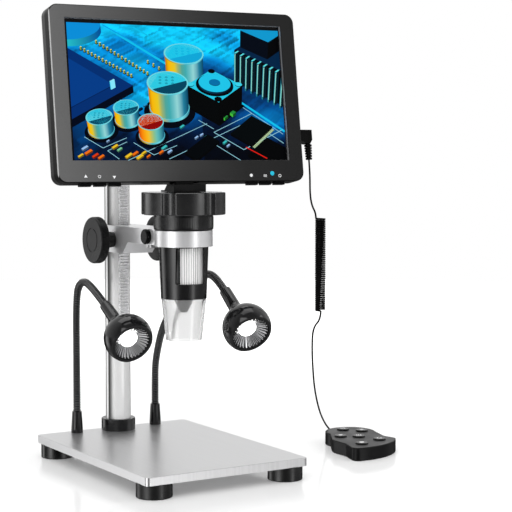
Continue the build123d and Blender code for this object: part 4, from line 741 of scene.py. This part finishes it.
def makeReflector(side, grid):
    middle = reflector["start"] + reflector["depth"] / 2
    selectNone()
    bpy.ops.mesh.primitive_cone_add(
        vertices=reflector["flutes"] * 4, radius1=reflector["throat"], radius2=reflector["mouth"],
        depth=reflector["depth"], end_fill_type="NOTHING", location=(0, 0, middle),
    )
    dish = placedPiece(f"reflector_{side}")
    pressFlutes(dish, reflector["flutes"], reflector["fluteDepth"], middle)
    step = pi / (2 * reflector["flutes"])
    # the flutes' slopes take the black finish as painted shade, between bright floors and crests
    for face in dish.data.polygons:
        face.material_index = floor(atan2(face.center.y, face.center.x) / step) % 4 in (1, 3)
    applyModifier(dish, "SOLIDIFY", thickness=reflector["wall"], offset=1.0)
    smoothOver(dish, 20)
    selectNone()
    bpy.ops.mesh.primitive_torus_add(
        major_radius=reflector["mouth"] + reflector["lipWire"] / 2, minor_radius=reflector["lipWire"],
        major_segments=72, minor_segments=8, location=(0, 0, reflector["start"] + reflector["depth"]),
    )
    lip = placedPiece("lip")
    for face in lip.data.polygons:
        face.material_index = 1
    smoothOver(lip, 60)
    for part in (dish, lip):
        for look in ("reflectorBright", "blackGloss"):
            part.data.materials.append(looks[look])
    dish = joinPieces([dish, lip], f"reflector_{side}")
    putIn(dish, grid)
    finishPiece(dish, f"lamp_{side}_head", None)
    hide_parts(f"lamp_reflector_{side}")


for side in sides:
    makeReflector(side, lampFrame(makeHose(side)))
print("lamps done")


axle = (104.2, 176.7)       # how far back and how high the knobs' shaft lies
grips = {
    # body, slot, look, where its middle is, its axis, radius, width, ridges and how deep they are
    "flangeGrip": ("head", "black_satin", "wheelBlack", (0, 0, 196.2), "Z", 25.38, 8.6, 110, 0.30),
    "knobGripLeft": ("pinion", "black_satin", "knobBlack", (-31.65, *axle), "X", 20.78, 5.2, 96, 0.30),
    "knobGripRight": ("pinion", "black_satin", "knobBlack", (31.65, *axle), "X", 20.78, 5.2, 96, 0.30),
    "hubGripLeft": ("carriage", "bearing_plastic", "bearingPlastic", (-21.2, *axle), "X", 7.1, 8.0, 28, 0.35),
    "hubGripRight": ("carriage", "bearing_plastic", "bearingPlastic", (21.2, *axle), "X", 7.1, 8.0, 28, 0.35),
    "drumGrip": ("focus_wheel", "drum_silver", "drumSilver", (0, 0, 159.7), "Z", 17.35, 32.0, 54, 0.45),
    "clampGrip": ("clamp_screw", "black_metal", "neckBlack", (-17.3, 36.0, 182.5), "X", 6.5, 2.4, 32, 0.40),
}
gripWall = 0.6      # under the ridges


def makeGrip(name, body, slotName, look, spot, axis, radius, width, ridges, depth):
    grip = roundPiece(name, ridges * 4, radius * mm, width * mm, ends="NOTHING")
    pressFlutes(grip, ridges, depth / radius)
    applyModifier(grip, "SOLIDIFY", thickness=(gripWall + depth) * mm, offset=-1.0)
    smoothOver(grip, 25)
    turn = Matrix.Rotation(pi / 2, 4, "Y") if axis == "X" else Matrix.Identity(4)
    putIn(grip, Matrix.Translation(Vector(spot) * mm) @ turn)
    finishPiece(grip, body, look)


for name, values in grips.items():
    makeGrip(name, *values)
print("grips done")


# dark strip along the left edge of the barrel's window, a dark piece put in as painted shade
windowShade = {
    "faces": 180,                 # all round, before it is cut
    "radius": 18.7 * mm,
    "height": 29.6 * mm,
    "middle": 159.75 * mm,
    "window": radians(266.8),     # where the window looks, as the head is turned
    "from": radians(-44),
    "to": radians(-29),
    "wall": 0.5 * mm,
    "edge": 0.15 * mm,
}


def makeWindowShade():
    strip = roundPiece("windowShadeStrip", windowShade["faces"], windowShade["radius"], windowShade["height"],
                       (0, 0, windowShade["middle"]), "NOTHING")
    dropFaces(strip, lambda face: not windowShade["from"] < atan2(face.center.y, face.center.x) < windowShade["to"])
    thicken(strip, windowShade["wall"], windowShade["edge"])
    putIn(strip, Matrix.Rotation(windowShade["window"] + screenRest["yaw"], 4, "Z"))
    finishPiece(strip, "head", "blackSatin")


makeWindowShade()


# the picture on the display: a small circuit drawn as a model, then pressed flat in perspective
macro = {
    "distance": 420.0,
    "drop": radians(33),          # how far down the view looks
    "turn": radians(43),
    "width": 195.6,
    "height": 114.7,
    "middle": (0.95, 2.15),       # from the display's own middle
    "depth": -3.9,
    "relief": 0.5,
    "cells": (150, 90),
    # each row of pins from where to where in the picture, and how many
    "pins": [
        ((0.06, 0.80), (0.28, 0.61), 15), ((0.13, 0.85), (0.355, 0.63), 15),
        ((0.36, 0.715), (0.41, 0.67), 3),
    ],
    "cooler": (0.80, 0.56),
    "fins": 17,
    "finStart": -6,
    "finPitch": 6.2,
}
macroRight = Vector((cos(macro["turn"]), sin(macro["turn"]), 0))
macroAway = Vector((-sin(macro["turn"]), cos(macro["turn"]), 0))
macroParts = []


def seen(red, green, blue):
    return [(part / 255) ** 2.2 for part in (red, green, blue)]


def fromPicture(u, v):
    # the spot on the board under a point of the picture, and how large a millimetre is there
    across, up = (u - 0.5) * macro["width"], (v - 0.5) * macro["height"]
    distance, drop = macro["distance"], macro["drop"]
    away = up * distance / (distance * sin(drop) - up * cos(drop))
    depth = distance + away * cos(drop)
    return macroRight * across * depth / distance + macroAway * away, distance / depth


def toPicture(spot):
    drop = macro["drop"]
    depth = macro["distance"] + spot.dot(macroAway) * cos(drop) - spot.z * sin(drop)
    across = spot.dot(macroRight) * macro["distance"] / depth
    up = (spot.dot(macroAway) * sin(drop) + spot.z * cos(drop)) * macro["distance"] / depth
    return across, up, macro["relief"] * (280 / depth - 0.4)


def betweenTones(stops, value):
    for (lowAt, low), (highAt, high) in zip(stops, stops[1:]):
        if value <= highAt:
            share = max(0.0, (value - lowAt) / (highAt - lowAt))
            return [a + (b - a) * share for a, b in zip(low, high)]
    return stops[-1][1]


def paintFaces(obj, toneOf):
    # each corner has its own tone, so that tones run smoothly round a curved side
    layer = obj.data.color_attributes.new("screenTone", "FLOAT_COLOR", "CORNER")
    for face in obj.data.polygons:
        for corner in face.loop_indices:
            spot = obj.data.vertices[obj.data.loops[corner].vertex_index].co
            layer.data[corner].color = (*toneOf(face.normal, spot), 1)
    macroParts.append(obj)


def macroBox(spot, size, top, left, right):
    # its near corners face left and right; the colours are those of its three visible sides
    box = blockPiece("macroBox", size, spot + Vector((0, 0, size[2] / 2)))
    paintFaces(box, lambda normal, middle: top if normal.z > 0.5 else right if normal.x > 0.5 else left)


def pictureBox(place, size, top, left, right, shift=(0, 0, 0)):
    # a box by its place in the picture, with its size and shift as large as they look there
    spot, scale = fromPicture(*place)
    macroBox(spot + Vector(shift) / scale, [part / scale for part in size], top, left, right)


def macroRound(spot, radius, height, top, sideStops=None, faces=32):
    # with no tones for its side it has its top's tone all round
    drum = roundPiece("macroRound", faces, radius, height, spot + Vector((0, 0, height / 2)))
    paintFaces(drum, lambda normal, corner: top if normal.z > 0.5 else
               betweenTones(sideStops or [(0, top)], (corner - spot).dot(macroRight) / radius))
    return drum


def macroLine(start, end, width, tone, lift=0.3):
    first, last = fromPicture(*start)[0], fromPicture(*end)[0]
    way = last - first
    line = blockPiece("macroLine", (way.length, width, 0.2))
    turn = Matrix.Rotation(atan2(way.y, way.x), 4, "Z")
    putIn(line, Matrix.Translation((first + last) / 2 + Vector((0, 0, lift))) @ turn)
    paintFaces(line, lambda normal, middle: tone)


black, navy, pale, cyan = seen(2, 5, 8), seen(4, 28, 66), seen(140, 200, 215), seen(20, 190, 235)
amber, orange, teal, lilac = seen(235, 190, 40), seen(240, 110, 20), seen(60, 190, 190), seen(150, 190, 235)
laminate = {
    "tones": [
        (0.0, seen(1, 10, 20)), (0.25, seen(2, 28, 58)), (0.5, seen(2, 70, 130)), (0.75, seen(4, 128, 200)),
        (1.0, seen(20, 190, 238)),
    ],
    "rise": 1.05,             # how much lighter it is at the far edge
    "sideShade": 0.10,
    # how fast each cloud changes along x and y, its level in the noise and its strength
    "clouds": [((0.011, 0.018), 1.7, 0.5), ((0.03, 0.03), 6.2, 0.2)],
    # each way's cells in millimetres, the noise's steps from cell to cell and its level
    "tracks": [(3.4, 26, 0.71, 0.9, 3.1), (30, 3.4, 0.8, 0.77, 9.4)],
    "trackStrength": 0.9,
}
canSides = [
    (-1.0, seen(190, 110, 10)), (-0.8, seen(250, 185, 10)), (-0.45, seen(225, 200, 40)),
    (-0.3, seen(90, 160, 130)), (0.1, seen(60, 170, 180)), (0.45, seen(150, 215, 215)),
    (0.7, seen(40, 130, 160)), (1.0, seen(5, 60, 90)),
]
redCanSides = [
    (-1.0, seen(200, 60, 5)), (-0.7, seen(250, 130, 10)), (-0.2, seen(250, 190, 30)),
    (0.15, seen(150, 190, 110)), (0.5, seen(90, 190, 190)), (1.0, seen(10, 80, 110)),
]
skirtSides = [
    (-1.0, seen(150, 90, 10)), (-0.4, seen(200, 180, 60)), (0.0, seen(60, 170, 190)),
    (0.6, seen(120, 220, 230)), (1.0, seen(10, 90, 120)),
]
canLook = {
    # each ring's start, radius and height as shares of the can's, then its top's tone and its sides,
    # or none where they are the can's own
    "rings": [
        (0.04, 0.9, 0.1, seen(4, 20, 30), skirtSides), (0.08, 1.0, 0.09, seen(90, 200, 215), skirtSides),
        (0.15, 0.96, 0.85, None, None), (0.98, 1.0, 0.03, seen(110, 215, 225), skirtSides),
    ],
    "shadow": 1.28,
    "lid": 0.93,
    "markStart": 0.22,
    "dot": 0.11,
    "dotRows": (0.42, 0.16, -0.10),
    "dotColumns": (-0.36, -0.06, 0.24),
}
cans = [
    # where it stands in the picture, radius, height, its top's colour and its mark's colour, its sides
    ((0.529, 0.560), 17.8, 31.0, seen(30, 195, 232), seen(20, 165, 215), canSides),
    ((0.447, 0.364), 18.4, 28.8, seen(45, 200, 225), seen(8, 70, 95), canSides),
    ((0.250, 0.286), 11.4, 14.5, seen(40, 185, 215), seen(8, 75, 100), canSides),
    ((0.129, 0.212), 11.6, 15.0, seen(40, 190, 218), seen(8, 75, 100), canSides),
    ((0.357, 0.174), 11.8, 16.0, seen(205, 70, 25), seen(140, 10, 10), redCanSides),
]
tracks = [
    # from where to where in the picture, how wide, its colour
    ((0.79, 0.44), (1.0, 0.22), 2.4, cyan), ((0.80, 0.40), (0.99, 0.20), 0.5, pale),
    ((0.24, 0.0), (0.62, 0.275), 0.5, pale), ((0.43, 0.01), (0.83, 0.30), 0.5, pale),
    ((0.83, 0.30), (0.99, 0.13), 0.6, pale), ((0.65, 0.21), (0.79, 0.08), 0.6, pale),
    ((0.79, 0.08), (0.99, 0.235), 0.6, pale), ((0.65, 0.21), (0.84, 0.355), 0.5, pale),
    ((0.62, 0.15), (0.77, 0.0), 0.5, pale), ((0.58, 0.30), (0.65, 0.235), 0.5, pale),
    ((0.0, 0.335), (0.18, 0.475), 0.7, cyan), ((0.0, 0.30), (0.24, 0.47), 0.5, pale),
    ((0.22, 0.93), (0.46, 0.70), 2.5, cyan), ((0.30, 0.98), (0.60, 0.72), 2.0, cyan),
    ((0.02, 0.62), (0.30, 0.37), 0.8, cyan), ((0.16, 0.99), (0.40, 0.78), 1.0, seen(10, 150, 225)),
    ((0.05, 0.17), (0.13, 0.09), 0.5, pale), ((0.13, 0.09), (0.24, 0.165), 0.5, pale),
    ((0.27, 0.13), (0.36, 0.04), 0.5, pale), ((0.36, 0.04), (0.47, 0.11), 0.5, pale),
    ((0.15, 0.07), (0.24, 0.135), 0.5, pale), ((0.15, 0.07), (0.20, 0.01), 0.5, pale),
]
scatter = [
    # where a small part lies, how long it is, its colour
    (0.185, 0.095, 6, amber), (0.205, 0.075, 5, seen(120, 200, 150)), (0.245, 0.03, 7, amber),
    (0.275, 0.045, 6, orange), (0.295, 0.02, 7, amber), (0.315, 0.05, 5, amber), (0.335, 0.025, 4, orange),
    (0.395, 0.055, 5, orange), (0.41, 0.09, 6, teal), (0.435, 0.06, 5, lilac), (0.065, 0.055, 7, orange),
    (0.095, 0.03, 6, seen(220, 60, 20)), (0.05, 0.085, 6, lilac), (0.03, 0.03, 5, amber),
    (0.50, 0.245, 5, teal), (0.565, 0.165, 4, lilac), (0.59, 0.185, 4, lilac), (0.61, 0.17, 4, teal),
    (0.70, 0.13, 5, teal), (0.715, 0.105, 4, lilac), (0.335, 0.40, 4, seen(40, 150, 210)),
    (0.31, 0.37, 5, seen(5, 30, 60)), (0.155, 0.135, 3, lilac), (0.12, 0.02, 6, orange),
]


def makeCan(place, radius, height, top, mark, sides):
    spot, size = fromPicture(*place)
    radius, height = radius / size, height / size
    up = Vector((0, 0, height))
    high = spot + up
    macroRound(spot, radius * canLook["shadow"], 0.4, seen(2, 10, 22))
    for start, wide, tall, tone, tones in canLook["rings"]:
        macroRound(spot + up * start, radius * wide, height * tall, tone or top, tones or sides)
    # the mark covers the top's near side
    half = macroRound(high, radius * canLook["lid"], height * 0.02, mark)
    openMesh(half, "FACE", lambda face: True)
    way = macroRight * 0.5 - macroAway
    bpy.ops.mesh.bisect(plane_co=high + way * radius * canLook["markStart"], plane_no=way, clear_inner=True,
                        use_fill=False)
    closeMesh()
    macroRound(high, radius * (canLook["lid"] - 0.01), height * 0.012, top)
    faint = [a * 0.55 + b * 0.45 for a, b in zip(top, mark)]
    dot = (radius * canLook["dot"], radius * canLook["dot"], height * 0.03)
    for away in canLook["dotRows"]:
        for across in canLook["dotColumns"]:
            macroBox(high + (macroRight * across + macroAway * away) * radius, dot, faint, faint, faint)


def boardTone(u, v):
    # bright and hazy far off, near black close by, with tracks along both ways
    spot = fromPicture(u, v)[0]
    light = laminate["rise"] * v + laminate["sideShade"] * (1 if u < 0.6 else v - 1)
    for (wide, deep), level, strength in laminate["clouds"]:
        light += strength * noise.noise(Vector((spot.x * wide, spot.y * deep, level)))
    across, along = [noise.noise(Vector((floor(spot.x / wide) * jumpX, floor(spot.y / deep) * jumpY, level)))
                     for wide, deep, jumpX, jumpY, level in laminate["tracks"]]
    strength = 1 + laminate["trackStrength"] * (max(across, along, 0) - max(-across, 0))
    return [part * strength for part in betweenTones(laminate["tones"], min(1.0, max(0.0, light)))]


def makeBoard():
    columns, rows = macro["cells"]
    selectNone()
    bpy.ops.mesh.primitive_grid_add(x_subdivisions=columns, y_subdivisions=rows, size=1)
    board = newPiece("macroBoard")
    layer = board.data.color_attributes.new("screenTone", "FLOAT_COLOR", "CORNER")
    tones = [boardTone(vertex.co.x + 0.5, vertex.co.y + 0.5) for vertex in board.data.vertices]
    for loop, corner in zip(board.data.loops, layer.data):
        corner.color = (*tones[loop.vertex_index], 1)
    for vertex in board.data.vertices:
        vertex.co = fromPicture(vertex.co.x + 0.5, vertex.co.y + 0.5)[0]
    macroParts.append(board)


chips = {
    "corner": (0.285, 0.50),      # the near corner of the big one at the left
    "edge": 120,
    "height": 7,
    "lidEdge": 96,
    "lidHeight": 0.6,
    "cover": (0.02, 0.93),        # a round one in the far left corner
    "coverRadius": 26,
    "coverHeight": 6,
    "legged": (0.835, 0.215),
    "leggedSize": (24, 36, 2.5),
    "leg": (2.6, 0.8, 0.8),
    "legs": 20,
    "legReach": 13.2,
    "legStart": -16.5,
    "legPitch": 1.75,
    # flat ones close by: place, size and tone
    "plain": [((0.93, 0.03), (34, 34, 2.5), seen(3, 6, 8)), ((0.59, 0.085), (14, 34, 3), seen(3, 10, 14))],
}


def makeChips():
    place, edge, tall = chips["corner"], chips["edge"], chips["height"]
    pictureBox(place, (edge, edge, tall), seen(6, 50, 112), black, seen(2, 14, 30), (-edge / 2, -edge / 2, 0))
    spot, size = fromPicture(*place)
    lid = (chips["lidEdge"] / size, chips["lidEdge"] / size, chips["lidHeight"])
    macroBox(spot + Vector((-edge / 2, -edge / 2, tall)) / size, lid, seen(8, 62, 134), navy, navy)
    # a tag beside it
    pictureBox((0.195, 0.475), (1, 5, 15), seen(150, 235, 250), seen(60, 200, 235), seen(130, 230, 250))
    spot, size = fromPicture(*chips["cover"])
    rims = [(-1, seen(3, 70, 130)), (0, seen(40, 190, 200)), (1, seen(3, 80, 150))]
    macroRound(spot, chips["coverRadius"] / size, chips["coverHeight"] / size, seen(15, 140, 215), rims)
    place = chips["legged"]
    pictureBox(place, chips["leggedSize"], seen(2, 12, 14), black, black)
    for item in range(chips["legs"]):
        pictureBox(place, chips["leg"], seen(200, 220, 170), seen(120, 150, 110), seen(60, 90, 80),
                   (chips["legReach"], chips["legStart"] + item * chips["legPitch"], 0))
    for place, size, tone in chips["plain"]:
        pictureBox(place, size, tone, black, black)
    macroLine((0.80, 0.075), (0.90, -0.01), 0.9, seen(225, 35, 25), 3.2)


coil = {
    "place": (0.664, 0.408),
    "edge": 36.5,
    "height": 21.5,
    # on its lid: radius as a share of the edge, where it starts, its height, its top's tone and its sides
    "rounds": [
        (0.47, 0, 0.7, seen(2, 12, 20), [(0, black)]),
        (0.40, 0, 2.4, seen(35, 195, 232), [(-1, seen(4, 60, 90)), (1, seen(2, 20, 35))]),
        (0.14, 2.4, 0.4, seen(10, 110, 165), [(0, black)]),
    ],
    # each stud's way from the middle and its tone
    "studs": [(1, 1, seen(60, 210, 235)), (1, -1, black), (-1, -1, seen(60, 210, 235)), (-1, 1, black)],
    "pads": [(0.705, 0.315), (0.745, 0.345)],
}


def makeCoil():
    # a round coil in its square case
    spot, size = fromPicture(*coil["place"])
    edge, tall = coil["edge"] / size, coil["height"] / size
    macroBox(spot, (edge * 1.1, edge * 1.1, 0.5), black, black, black)
    macroBox(spot, (edge, edge, tall), seen(40, 200, 230), seen(3, 9, 10), seen(2, 6, 7))
    lid = spot + Vector((0, 0, tall))
    for radius, start, height, tone, sides in coil["rounds"]:
        macroRound(lid + Vector((0, 0, start)), edge * radius, height, tone, sides)
    for right, away, tone in coil["studs"]:
        shift = Vector((edge * 0.43 * right, edge * 0.43 * away, 0.4))
        macroRound(lid + shift, edge * 0.09, 0.6, tone, [(0, black)], 12)
    for place in coil["pads"]:
        pictureBox(place, (5, 5, 3), seen(40, 140, 60), seen(70, 190, 60), seen(20, 80, 30))


def makeCooler():
    # the comb of a cooler in the far right corner
    place = macro["cooler"]
    pictureBox(place, (120, 40, 32), seen(4, 40, 70), seen(2, 8, 12), black, (50, 22, 0))
    pictureBox(place, (30, 40, 16), seen(20, 150, 205), seen(3, 14, 26), black, (6, 30, 32))
    for item in range(macro["fins"]):
        across = macro["finStart"] + item * macro["finPitch"]
        pictureBox(place, (1.6, 6, 32), seen(90, 220, 225), seen(30, 120, 140), seen(3, 30, 40),
                   (across, 0, 0))
        pictureBox(place, (0.7, 0.8, 28), seen(240, 250, 210), seen(150, 235, 220), seen(30, 90, 90),
                   (across + 0.6, -3.2, 3))
    macroLine((0.86, 0.98), (1.02, 0.80), 6, seen(190, 230, 40), 62)


def makePins():
    # rows of gilded pins
    for start, end, count in macro["pins"]:
        for item in range(count):
            share = item / (count - 1)
            pin, size = fromPicture(*[a + (b - a) * share for a, b in zip(start, end)])
            macroBox(pin, (2.4 / size, 2.4 / size, 0.5), seen(2, 40, 90), black, black)
            macroBox(pin, (1.3 / size, 1.3 / size, 3.2 / size), seen(235, 235, 120), seen(170, 160, 30),
                     seen(60, 110, 60))


def pressPicture():
    # flattened as it is seen, cut to its edges and laid behind the display's front
    picture = joinPieces(macroParts, "displayPicture")
    for vertex in picture.data.vertices:
        vertex.co = toPicture(vertex.co)
    openMesh(picture, "FACE", lambda face: True)
    wide, high = macro["width"] / 2, macro["height"] / 2
    for way, reach in (((1, 0, 0), wide), ((-1, 0, 0), wide), ((0, 1, 0), high), ((0, -1, 0), high)):
        bpy.ops.mesh.select_all(action="SELECT")
        bpy.ops.mesh.bisect(plane_co=Vector(way) * reach, plane_no=way, clear_outer=True)
    closeMesh()
    middle = Vector((*macro["middle"], macro["depth"])) * mm
    putIn(picture, screenFrame @ Matrix.Translation(middle) @ Matrix.Scale(mm, 4))
    tree, shader = newMaterial("displayPicture", Base_Color=(0.001, 0.001, 0.0012, 1), Roughness=0.3,
                               Specular_IOR_Level=0.03, Emission_Strength=1.0)
    tone = addNode(tree, "Attribute", attribute_name="screenTone")
    wire(tree, (tone, "Color", shader, "Emission Color"))
    finishPiece(picture, "screen", "displayPicture")


makeBoard()
makeChips()
makeCoil()
makeCooler()
makePins()
for can in cans:
    makeCan(*can)
for start, end, width, tone in tracks:
    macroLine(start, end, width / fromPicture(*start)[1], tone)
for u, v, length, tone in scatter:
    left, right = [[part * share for part in tone] for share in (0.35, 0.2)]
    pictureBox((u, v), (length * 0.4, length, 1.6), tone, left, right)
pressPicture()
print("display picture done")


# thin lining of the display's opening, light grey as a painted highlight on its walls
opening = {
    "width": 199.5 * mm,
    "height": 118.3 * mm,
    "middle": 3.65 * mm,
    "from": -3.75 * mm,
    "to": -0.9 * mm,
    "play": 0.02 * mm,
    "wall": 0.25 * mm,
    "edge": 0.08 * mm,
}


def makeTrim():
    play, tall = opening["play"], opening["to"] - opening["from"]
    trim = blockPiece("openingHighlightTrim", (opening["width"] - play, opening["height"] - play, tall),
                      (0, opening["middle"], (opening["to"] + opening["from"]) / 2))
    dropFaces(trim, lambda face: abs(face.normal.z) > 0.5)
    thicken(trim, opening["wall"], opening["edge"])
    putIn(trim, screenFrame)
    finishPiece(trim, "screen", "trimHighlightGrey")


makeTrim()

# marks by the display's buttons, on its own plane: kind, place, size
displayMarks = [
    ("up", (-89.4, -68.6), 1.5), ("ring", (-77.5, -68.7), 1.3), ("down", (-64.6, -69.1), 1.5),
    ("dot", (61.2, -68.5), 1.4), ("bars", (74.6, -68.9), 1.3), ("ring", (88.9, -69.0), 1.4),
]
remoteMarks = {"kinds": ["ring", "up", "down", "bars", "gap", "dot"], "size": 2.3, "turn": radians(-30)}
markDepth = 0.16 * mm


def markShape(kind, size):
    # flat marks, thick enough to stand a hair above the face
    if kind in ("up", "down"):
        mark = roundPiece("mark", 3, size * 1.15, markDepth)
        putIn(mark, Matrix.Rotation(0 if kind == "up" else pi, 4, "Z"))
    elif kind == "dot":
        mark = roundPiece("mark", 24, size, markDepth)
    elif kind == "bars":
        bar = (size * 0.35, size * 1.8, markDepth)
        mark = joinPieces([blockPiece("bar", bar, (place * size, 0, 0)) for place in (-0.8, 0, 0.8)], "mark")
    else:
        mark = roundPiece("mark", 24, size, markDepth, ends="NOTHING")
        if kind == "gap":
            dropFaces(mark, lambda face: face.center.y > size * 0.75)
        applyModifier(mark, "SOLIDIFY", thickness=size * 0.3, offset=-1.0)
    return mark


made = []
for kind, place, size in displayMarks:
    made.append(markShape(kind, size * mm))
    putIn(made[-1], screenFrame @ Matrix.Translation((place[0] * mm, place[1] * mm, 0.0)))
finishPiece(joinPieces(made, "displayMarks"), "screen", "markWhite")

for number, kind in enumerate(remoteMarks["kinds"], start=1):
    low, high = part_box(f"remote_button_{number}")
    mark = markShape(kind, remoteMarks["size"] * mm)
    middle = Vector(((low[0] + high[0]) / 2, (low[1] + high[1]) / 2, high[2]))
    putIn(mark, Matrix.Translation(middle) @ Matrix.Rotation(remoteMarks["turn"], 4, "Z"))
    mark.name = f"remoteMark{number}"
    finishPiece(mark, f"remote_button_{number}", "markWhite")
print("marks done")


# studio: floor, world and lights
studio = {
    "floorRadius": 2.0,
    "floorZ": -19.0 * mm,
    "floorTone": (0.93, 0.93, 0.93, 1),
    "floorShine": 0.30,
    "shineTone": (0.9, 0.9, 0.9, 1),
    "shineRoughness": 0.14,
    "fades": (0.25, 0.9, 0.12, 0.7),     # from where to where the floor melts away, and how far it does
    "softSky": (0.68, 0.68, 0.68),
    # how bright the studio is round the compass, low down, as shiny parts see it
    "bands": [
        (0.0, 0.25), (0.018, 0.10), (0.088, 0.03), (0.13, 0.12), (0.165, 0.9), (0.195, 4.4), (0.222, 4.4),
        (0.25, 1.8), (0.285, 0.6), (0.322, 0.10), (0.35, 0.12), (0.38, 1.8), (0.42, 2.2), (0.44, 0.12),
        (0.48, 0.04), (0.68, 0.04), (0.73, 0.3), (0.80, 0.25), (0.86, 0.4), (0.918, 0.6), (0.935, 3.4),
        (0.958, 3.4), (0.975, 0.7),
    ],
    # the same for what lies below it and high above it
    "under": (0.35, 0.35, 0.35),
    "high": [(0.0, 0.30), (0.22, 0.30), (0.32, 0.75), (0.45, 0.95), (0.70, 0.95), (0.80, 0.75), (0.90, 0.30)],
    "underEnds": (-0.55, -0.25),
    "highStarts": (-0.03, 0.06),
    "aim": Vector((0, 0.03, 0.15)),
}
lamps = {
    # where it stands, its side length and its power
    "keyLight": ((-0.95, -0.85, 1.05), 0.9, 8.0),
    "fillLight": ((1.15, -0.75, 0.75), 0.8, 4.5),
    "topLight": ((0.0, 0.25, 1.5), 1.2, 7.0),
}


def makeFloor():
    selectNone()
    bpy.ops.mesh.primitive_circle_add(vertices=96, radius=studio["floorRadius"], fill_type="NGON",
                                      location=(0, 0, studio["floorZ"]))
    floorDisc = placedPiece("studioFloor")
    tree = newMaterial("studioFloor")[0]
    tree.nodes.clear()
    matt = addNode(tree, "BsdfDiffuse", Color=studio["floorTone"])
    shine = addNode(tree, "BsdfGlossy", Color=studio["shineTone"], Roughness=studio["shineRoughness"])
    mixed = addNode(tree, "MixShader", Fac=studio["floorShine"])
    rays = addNode(tree, "LightPath")
    lift = addNode(tree, "Emission", Color=(1, 1, 1, 1))
    plainRays = addNode(tree, "Math", operation="MAXIMUM")
    level = addNode(tree, "Math", operation="MULTIPLY")
    place = addNode(tree, "TexCoord")
    reach = addNode(tree, "VectorMath", operation="LENGTH")
    farther = spreadMap(tree, *studio["fades"])
    total = addNode(tree, "AddShader")
    clear = addNode(tree, "BsdfTransparent")
    seenBy = addNode(tree, "MixShader")
    out = addNode(tree, "OutputMaterial")
    wire(tree, (matt, 0, mixed, 1), (shine, 0, mixed, 2), (place, "Object", reach, 0),
         (reach, "Value", farther, "Value"), (rays, "Is Camera Ray", plainRays, 0),
         (rays, "Is Transmission Ray", plainRays, 1), (plainRays, 0, level, 0),
         (farther, "Result", level, 1), (level, 0, lift, "Strength"), (mixed, 0, total, 0),
         (lift, 0, total, 1), (rays, "Is Glossy Ray", seenBy, 0), (total, 0, seenBy, 1),
         (clear, 0, seenBy, 2), (seenBy, 0, out, "Surface"))
    floorDisc.data.materials.append(looks["studioFloor"])


def makeWorld():
    world = bpy.data.worlds.new("studio")
    bpy.context.scene.world = world
    world.use_nodes = True
    tree = world.node_tree
    tree.nodes.clear()
    rays = addNode(tree, "LightPath")
    place = addNode(tree, "TexCoord")
    parts = addNode(tree, "SeparateXYZ")
    around = addNode(tree, "Math", operation="ARCTAN2")
    turn = addNode(tree, "MapRange", From_Min=-pi, From_Max=pi)
    bands = toneRamp(tree, studio["bands"])
    high = toneRamp(tree, studio["high"])
    low = spreadMap(tree, *studio["underEnds"])
    above = spreadMap(tree, *studio["highStarts"])
    under = toneMix(tree, first=studio["under"])
    shiny = toneMix(tree)
    soft = toneMix(tree, first=studio["softSky"])
    plain = toneMix(tree, second=(1, 1, 1))
    direct = addNode(tree, "Math", operation="MAXIMUM")
    back = addNode(tree, "Background")
    out = addNode(tree, "OutputWorld")
    wire(tree, (place, "Generated", parts, 0), (parts, "X", around, 0), (parts, "Y", around, 1),
         (around, 0, turn, "Value"), (turn, "Result", bands, 0), (turn, "Result", high, 0),
         (high, "Color", shiny, 7), (parts, "Z", low, "Value"), (parts, "Z", above, "Value"),
         (low, "Result", under, 0), (bands, "Color", under, 7), (above, "Result", shiny, 0),
         (under, 2, shiny, 6), (rays, "Is Glossy Ray", soft, 0), (shiny, 2, soft, 7),
         (rays, "Is Camera Ray", direct, 0), (rays, "Is Transmission Ray", direct, 1),
         (direct, 0, plain, 0), (soft, 2, plain, 6), (plain, 2, back, "Color"), (back, 0, out, "Surface"))


def makeLights():
    for name, (spot, size, power) in lamps.items():
        data = bpy.data.lights.new(name, "AREA")
        data.size = size
        data.energy = power
        lamp = bpy.data.objects.new(name, data)
        lamp.location = spot
        lamp.rotation_euler = (studio["aim"] - Vector(spot)).to_track_quat("-Z", "Y").to_euler()
        bpy.context.scene.collection.objects.link(lamp)


makeFloor()
makeWorld()
makeLights()
print("studio done")
